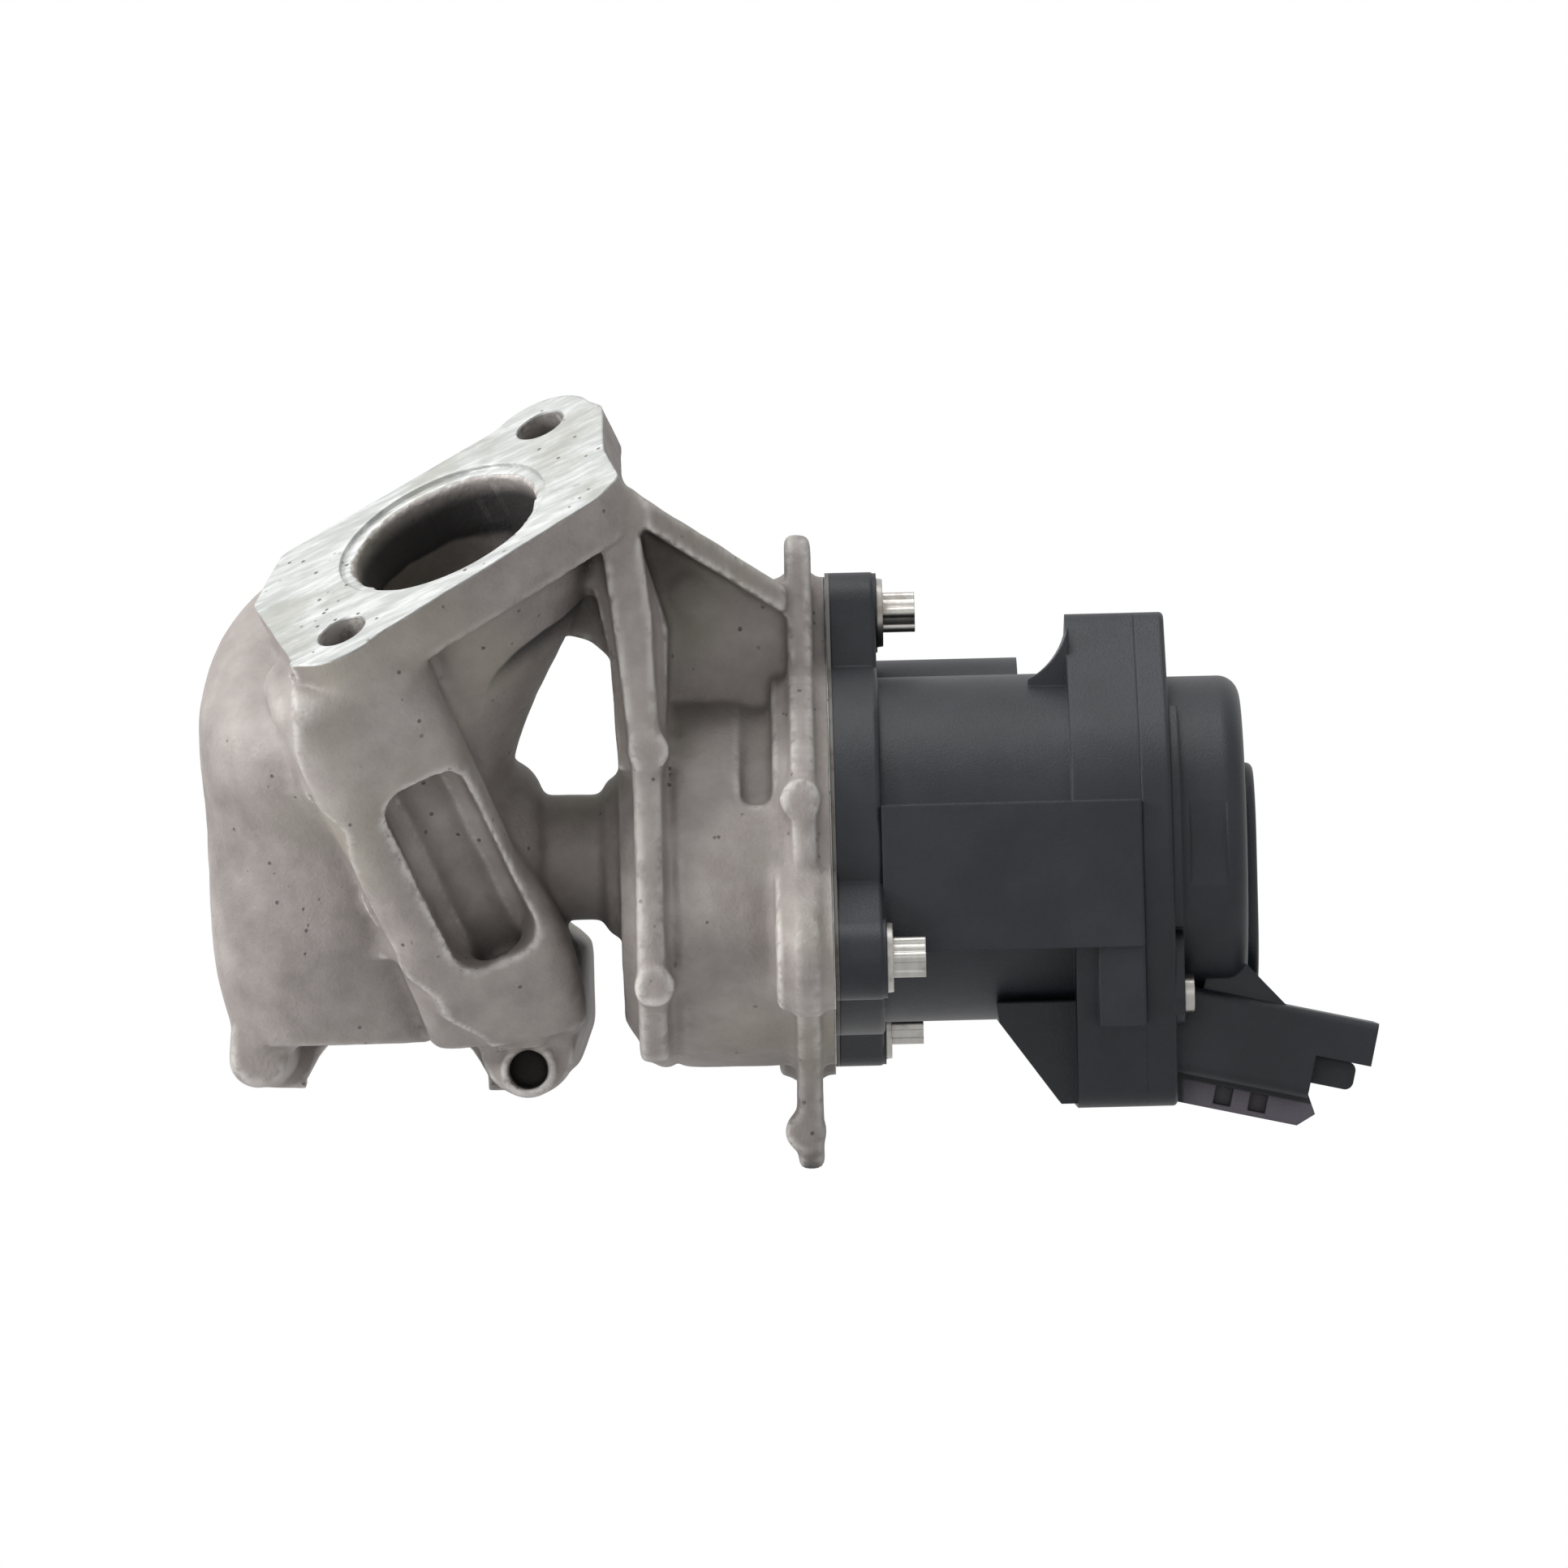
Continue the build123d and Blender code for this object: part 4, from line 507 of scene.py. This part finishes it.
class Finish:
    """A material with one Principled surface, whose nodes are added by short calls."""

    def __init__(self, name, colour, roughness, metallic=0.0):
        self.material = bpy.data.materials.new(name)
        self.material.use_nodes = True
        self.tree = self.material.node_tree
        self.surface = self.tree.nodes["Principled BSDF"]
        self.set("Base Color", colour)
        self.set("Roughness", roughness)
        self.set("Metallic", metallic)
        place = self.tree.nodes.new("ShaderNodeTexCoord")
        self.place = Signal(self, place.outputs["Object"])

    def feed(self, socket, value):
        if isinstance(value, Signal):
            self.tree.links.new(value.socket, socket)
        elif isinstance(value, (tuple, list, Vector)) and socket.type == "RGBA":
            socket.default_value = (*value[:3], 1.0)
        else:
            socket.default_value = value

    def set(self, name, value):
        self.feed(self.surface.inputs[name], value)

    def node(self, kind, settings=None, inputs=None, output=0):
        """Adds one node: its settings first, then its inputs, and gives its output as a Signal."""
        made = self.tree.nodes.new(kind)
        for key, value in (settings or {}).items():
            if key == "stops":
                ramp = made.color_ramp
                for number, (at, colour) in enumerate(value):
                    stop = ramp.elements[number] if number < 2 else ramp.elements.new(at)
                    stop.position = at
                    stop.color = (*colour, 1.0)
            else:
                setattr(made, key, value)
        for key, value in (inputs or {}).items():
            self.feed(made.inputs[key], value)
        return Signal(self, made.outputs[output])

    def noise(self, scale, detail=3.0, rough=0.55, place=None):
        """Soft noise from 0 to 1. The scale is in waves per metre, so 100 gives spots of 10 mm."""
        inputs = {"Vector": place or self.place, "Scale": scale, "Detail": detail, "Roughness": rough}
        return self.node("ShaderNodeTexNoise", {}, inputs)

    def cells(self, scale):
        """Distance to the nearest of scattered points: 0 at each point."""
        return self.node("ShaderNodeTexVoronoi", {}, {"Vector": self.place, "Scale": scale})

    def mix(self, mask, first, second):
        """Colour first where mask is 0 and second where it is 1."""
        return self.node("ShaderNodeMix", {"data_type": "RGBA"}, {0: mask, 6: first, 7: second}, 2)

    def along(self, direction, origin=(0, 0, 0)):
        """Distance along a direction from an origin, in metres."""
        start = Vector(origin).dot(Vector(direction))
        return self.vectors("DOT_PRODUCT", self.place, Vector(direction), "Value") - start

    def vectors(self, operation, first, second=(0, 0, 0), output="Vector"):
        """Vector Math on two vectors. A length or a dot product comes from the output Value."""
        return self.node("ShaderNodeVectorMath", {"operation": operation}, {0: first, 1: second}, output)

    def stretched(self, scale):
        """The place, stretched by a factor along each axis, for grain that runs one way."""
        return self.vectors("MULTIPLY", self.place, Vector(scale))

    def rounded(self, radius):
        """The normal of the surface as if its edges had that radius."""
        return self.node("ShaderNodeBevel", {"samples": 4}, {"Radius": radius})

    def corners(self, radius):
        """0 on a flat, up to 1 along an edge."""
        flat = self.node("ShaderNodeNewGeometry", output="Normal")
        agree = self.vectors("DOT_PRODUCT", self.rounded(radius), flat, "Value")
        return (1.0 - agree).between(0.01, 0.12)

    def bend(self, low, high):
        """0 on a flat, up to 1 where the skin is bent outwards, for a dense mesh."""
        return self.node("ShaderNodeNewGeometry", output="Pointiness").between(low, high)

    def hollows(self, distance):
        """1 in a deep corner, 0 in the open."""
        return 1.0 - self.node("ShaderNodeAmbientOcclusion", {"samples": 6}, {"Distance": distance}, "AO")

    def bump(self, height, depth, radius):
        """Sends a height in 0..1 to the surface as a bump of that depth, over rounded edges."""
        inputs = {"Distance": depth, "Height": height, "Normal": self.rounded(radius)}
        self.set("Normal", self.node("ShaderNodeBump", {}, inputs))


print("shader maths ready")

# %% [markdown]
# ## Where the metal is bright, where it is sooty and where shade is painted
# One material holds the rough skin, the milled faces, the soot in the bore and the painted shade of very
# deep corners. Two masks say which of them is seen. They are worked out from distances to the milled
# planes and to the bore's axis, so each border lies exactly on its edge; only the painted shade of deep
# corners follows the occlusion of the skin.

# %% Masks on the casting
face_edge = (-0.25 * MM, -0.1 * MM)
flange_edge = (-0.35 * MM, -0.2 * MM)
step_edge = (-1.3 * step_depth, -1.1 * step_depth)
soot_start = (-5.0 * MM, -1.0 * MM)
soot_end = (-24.0 * MM, -18.0 * MM)


def from_inlet(finish):
    """Height over the inlet face and distance from the bore's axis, in metres."""
    height = finish.along(inlet_normal, inlet_centre)
    from_centre = finish.vectors("SUBTRACT", finish.place, inlet_centre)
    across = finish.vectors("CROSS_PRODUCT", from_centre, inlet_normal)
    return height, finish.vectors("LENGTH", across, output="Value")


def milled_mask(finish):
    """1 on the three milled faces and on the gasket step, 0 on the cast skin."""
    height, radius = from_inlet(finish)
    step = height.between(*step_edge) * (1.0 - radius.between(inlet_step_r, inlet_step_r + 0.3 * MM))
    rear = finish.along((0, 1, 0)).between(*face_edge)
    joint = finish.along((1, 0, 0), (actuator_face, 0, 0)).between(*face_edge)
    return height.between(*flange_edge) | step | rear | joint


def soot_and_shade_mask(finish, hidden):
    """1 in the inlet's bore, where soot lies, and in very deep corners, which get painted shade."""
    height, radius = from_inlet(finish)
    below_face = height.between(*soot_end) * (1.0 - height.between(*soot_start))
    in_bore = 1.0 - radius.between(inlet_bore_r + 0.2 * MM, inlet_bore_r + 0.6 * MM)
    # Painted shade: very deep hollows found by the occlusion are made as black as the soot in the bore.
    return hidden.between(0.86, 0.97) | below_face * in_bore


print("soot from", soot_start[0] / MM, "to", soot_end[0] / MM, "mm under the flange")

# %% [markdown]
# ## Cast aluminium
# The body comes out of a die with a rough skin. Corners and hollows get a painted shade of brown, and
# convex edges are lighter, partly from wear and partly as a painted highlight. Its tone drifts slowly
# from grey to a faint warm brown, with yellower patches, and small pores open in it. The milled faces are
# bright, with fine lines from the cutter and a few dark pits. Hot gas leaves soot in the bore, and very
# deep corners get a near-black painted shade.

# %% Cast aluminium
cast_tones = [(0.3, (0.17, 0.152, 0.142)), (0.7, (0.38, 0.35, 0.325)), (0.5, (0.27, 0.243, 0.228))]
cast_yellow = (0.25, 0.238, 0.175)
pore_dark = (0.05, 0.045, 0.045)
painted_shade_brown = (0.062, 0.054, 0.047)
wear_and_highlight_edge = (0.58, 0.56, 0.53)
soot_and_shade_black = (0.006, 0.0055, 0.006)
milled_grey = (0.40, 0.41, 0.40)
milled_bright = (0.62, 0.63, 0.62)
milled_dull = (0.30, 0.30, 0.255)
pit_dark = (0.10, 0.095, 0.085)


def milled_colour(finish):
    """Bright metal with lines from the cutter, dull patches and pits."""
    lines = finish.noise(60.0, 3.0, 0.7, finish.stretched((1.0, 9.0, 3.0)))
    bright = finish.mix(lines.between(0.35, 0.7), milled_grey, milled_bright)
    dull = finish.noise(45.0, 5.0, 0.6).between(0.48, 0.62)
    bright = finish.mix(dull * 0.6, bright, milled_dull)
    pits = 1.0 - finish.cells(420.0).between(0.1, 0.2)
    return finish.mix(pits * finish.noise(70.0).between(0.47, 0.55), bright, pit_dark)


def cast_aluminium():
    """Die-cast skin with milled faces and a sooty bore."""
    finish = Finish("cast_aluminium", (0.36, 0.35, 0.33), 0.5)
    slow = finish.noise(38.0)
    blotch = finish.noise(160.0, 5.0, 0.65)
    grain = finish.noise(1500.0, 2.0, 0.6)
    skin = finish.node("ShaderNodeValToRGB", {"stops": cast_tones}, {0: slow * 0.6 + blotch * 0.4})
    skin = finish.mix(finish.noise(26.0, 2.0).between(0.5, 0.68) * 0.45, skin, cast_yellow)
    pores = (1.0 - finish.cells(330.0).between(0.06, 0.14)) * finish.noise(90.0, 2.0).between(0.52, 0.6)
    skin = finish.mix(pores * 0.75, skin, pore_dark)
    hidden = finish.hollows(16.0 * MM)
    # Painted shade: the skin turns brown where the occlusion finds hollows.
    skin = finish.mix(hidden.between(0.3, 0.9) * 0.6, skin, painted_shade_brown)
    # Partly wear, partly painted highlight: convex edges are lightened.
    wear_and_highlight = finish.bend(0.505, 0.55) * finish.noise(420.0, 2.0).between(0.25, 0.55)
    skin = finish.mix(wear_and_highlight * 0.85, skin, wear_and_highlight_edge)
    milled = milled_mask(finish)
    soot_and_shade = soot_and_shade_mask(finish, hidden)
    # Soot in the bore and painted shade in very deep corners.
    skin = finish.mix(soot_and_shade * 0.95, skin, soot_and_shade_black)
    finish.set("Base Color", finish.mix(milled, skin, milled_colour(finish)))
    finish.set("Roughness", 0.58 - milled * 0.2 + blotch * 0.08 + soot_and_shade * 0.3)
    finish.set("Metallic", (0.1 + milled * 0.35) * (1.0 - soot_and_shade))
    height = grain * 0.5 + blotch * 1.6 - pores
    finish.bump(height * (1.0 - milled * 0.85), 0.22 * MM, 0.6 * MM)
    return finish.material


made = {"cast_aluminium": cast_aluminium()}
print("cast aluminium done")

# %% [markdown]
# ## Black plastic
# The actuator's housing and cover are moulded in a glass-filled plastic. It isn't a true black: the
# fibres near the skin give it a blue-grey bloom, the fine spark texture of the mould breaks up every
# reflection, and its corners are made paler, partly as wear and partly as a painted highlight. The rail
# under the connector, which the plug's latch slides over, gets a pale painted reflection of the light
# from below, and its two pockets stay dark. The gears, the guides, the seals and the board inside share
# this build, each in its own colours.

# %% Moulded plastics
rail_top = Vector((141.7, 0, -38.3)) * MM
rail_tilt = radians(12.7)
rail_down = (-sin(rail_tilt), 0, -cos(rail_tilt))
# Pale tone of the painted reflection on the latch rail.
rail_painted_reflection = (0.17, 0.15, 0.18)
plastic_shine = 0.32
pocket_size = 4.0 * MM


def on_rail(finish):
    """1 on the latch rail below the connector, 0 in its pockets and on the rest of the cover."""
    below = finish.along(rail_down, rail_top).between(0.1 * MM, 0.5 * MM)
    beside = finish.along((1, 0, 0), rail_top).between(0.2 * MM, 1.0 * MM)
    return below * beside * (1.0 - finish.hollows(pocket_size))


def moulded(name, dark, pale, roughness, painted_reflection_place=None):
    """Moulded plastic with a spark-eroded skin, corners paler as wear and painted highlight, and maybe
    one place with a painted reflection.
    """
    finish = Finish(name, dark, roughness)
    finish.set("Specular IOR Level", plastic_shine)
    cloud = finish.noise(55.0, 4.0, 0.6)
    grain = finish.noise(2600.0, 2.0, 0.7)
    colour = finish.mix(cloud.between(0.35, 0.7) * 0.5, dark, pale)
    # Partly wear, partly painted highlight: the corners are mixed toward the pale tone.
    colour = finish.mix(finish.corners(0.7 * MM) * 0.45, colour, pale)
    if painted_reflection_place:
        # Painted reflection: the latch rail is lightened as if lit from below.
        colour = finish.mix(painted_reflection_place(finish) * 0.8, colour, rail_painted_reflection)
    finish.set("Base Color", colour)
    finish.set("Roughness", roughness + grain * 0.12 - cloud * 0.06)
    finish.bump(grain, 0.06 * MM, 0.5 * MM)
    return finish.material


plastics = (
    ("black_plastic", (0.0075, 0.0088, 0.0125), (0.022, 0.0245, 0.031), 0.46, None),
    ("cover_plastic", (0.0068, 0.0080, 0.0115), (0.020, 0.0225, 0.029), 0.44, on_rail),
    ("gear_plastic", (0.62, 0.58, 0.47), (0.72, 0.69, 0.60), 0.4, None),
    ("guide_plastic", (0.17, 0.17, 0.16), (0.26, 0.26, 0.24), 0.45, None),
    ("seal_rubber", (0.018, 0.018, 0.019), (0.04, 0.04, 0.042), 0.6, None),
    ("board", (0.02, 0.09, 0.035), (0.035, 0.13, 0.055), 0.35, None),
)
for name, dark, pale, roughness, painted_reflection_place in plastics:
    made[name] = moulded(name, dark, pale, roughness, painted_reflection_place)
print("moulded finishes", len(plastics))

# %% [markdown]
# ## Turned, plated and ground metal
# The inner pieces and the screws are machined steel or brass. All of them share one build: a metal
# whose tone and roughness vary with fine rings or streaks, and rounded corners that catch the light.
# Only the colour, the roughness and the amount of stain differ.

# %% Machined metals
stain_brown = (0.12, 0.09, 0.06)
streak_gain = 1.35


def machined(name, colour, roughness, stain):
    """Machined metal with fine streaks round the part and some stain."""
    finish = Finish(name, colour, roughness, 1.0)
    streak = finish.noise(500.0, 3.0, 0.7, finish.stretched((1.0, 0.12, 0.12)))
    spot = finish.noise(160.0, 4.0, 0.65).between(0.5, 0.75)
    lighter = [min(1.0, value * streak_gain) for value in colour]
    tone = finish.mix(streak.between(0.3, 0.7) * 0.4, colour, lighter)
    finish.set("Base Color", finish.mix(spot * stain, tone, stain_brown))
    finish.set("Roughness", roughness + streak * 0.16 + spot * stain * 0.5)
    finish.bump(streak, 0.02 * MM, 0.3 * MM)
    return finish.material


metals = (
    ("screw_steel", (0.34, 0.33, 0.31), 0.24, 0.5),
    ("valve_steel", (0.27, 0.255, 0.24), 0.34, 0.55),
    ("spring_steel", (0.18, 0.18, 0.19), 0.36, 0.2),
    ("bearing_steel", (0.45, 0.45, 0.46), 0.14, 0.05),
    ("spindle_brass", (0.50, 0.36, 0.16), 0.28, 0.1),
    ("gasket_steel", (0.12, 0.115, 0.11), 0.55, 0.4),
    ("motor_steel", (0.30, 0.30, 0.30), 0.32, 0.1),
    ("magnet", (0.10, 0.10, 0.11), 0.5, 0.1),
)
for name, colour, roughness, stain in metals:
    made[name] = machined(name, colour, roughness, stain)
print("metals", len(metals))

# %% [markdown]
# ## Finishes on the solids
# The record says which slot each solid takes its finish from, so one loop dresses all of them and none
# can be forgotten. Edges sharper than a set angle stay crisp, and the rest is shaded smooth.

# %% Dress the solids
sharp_angle = radians(32)


def dress(mesh, slot):
    """Gives a mesh one finish, smooth rounds and sharp edges."""
    mesh.materials.clear()
    mesh.materials.append(made[slot])
    mesh.shade_smooth()
    mesh.set_sharp_from_angle(angle=sharp_angle)


dress(casting.data, "cast_aluminium")
for part in frame["record"]["subparts"]:
    dress(nodes[part["node"]].data, part["material_slot"])

# %% [markdown]
# ## Last steps
# The floor turns white to the camera.

# %% The floor turns white to the camera
floor_out = floor_tree.nodes["Material Output"]
white_to_camera(floor_tree, floor_surface.outputs[0], floor_out.inputs["Surface"])
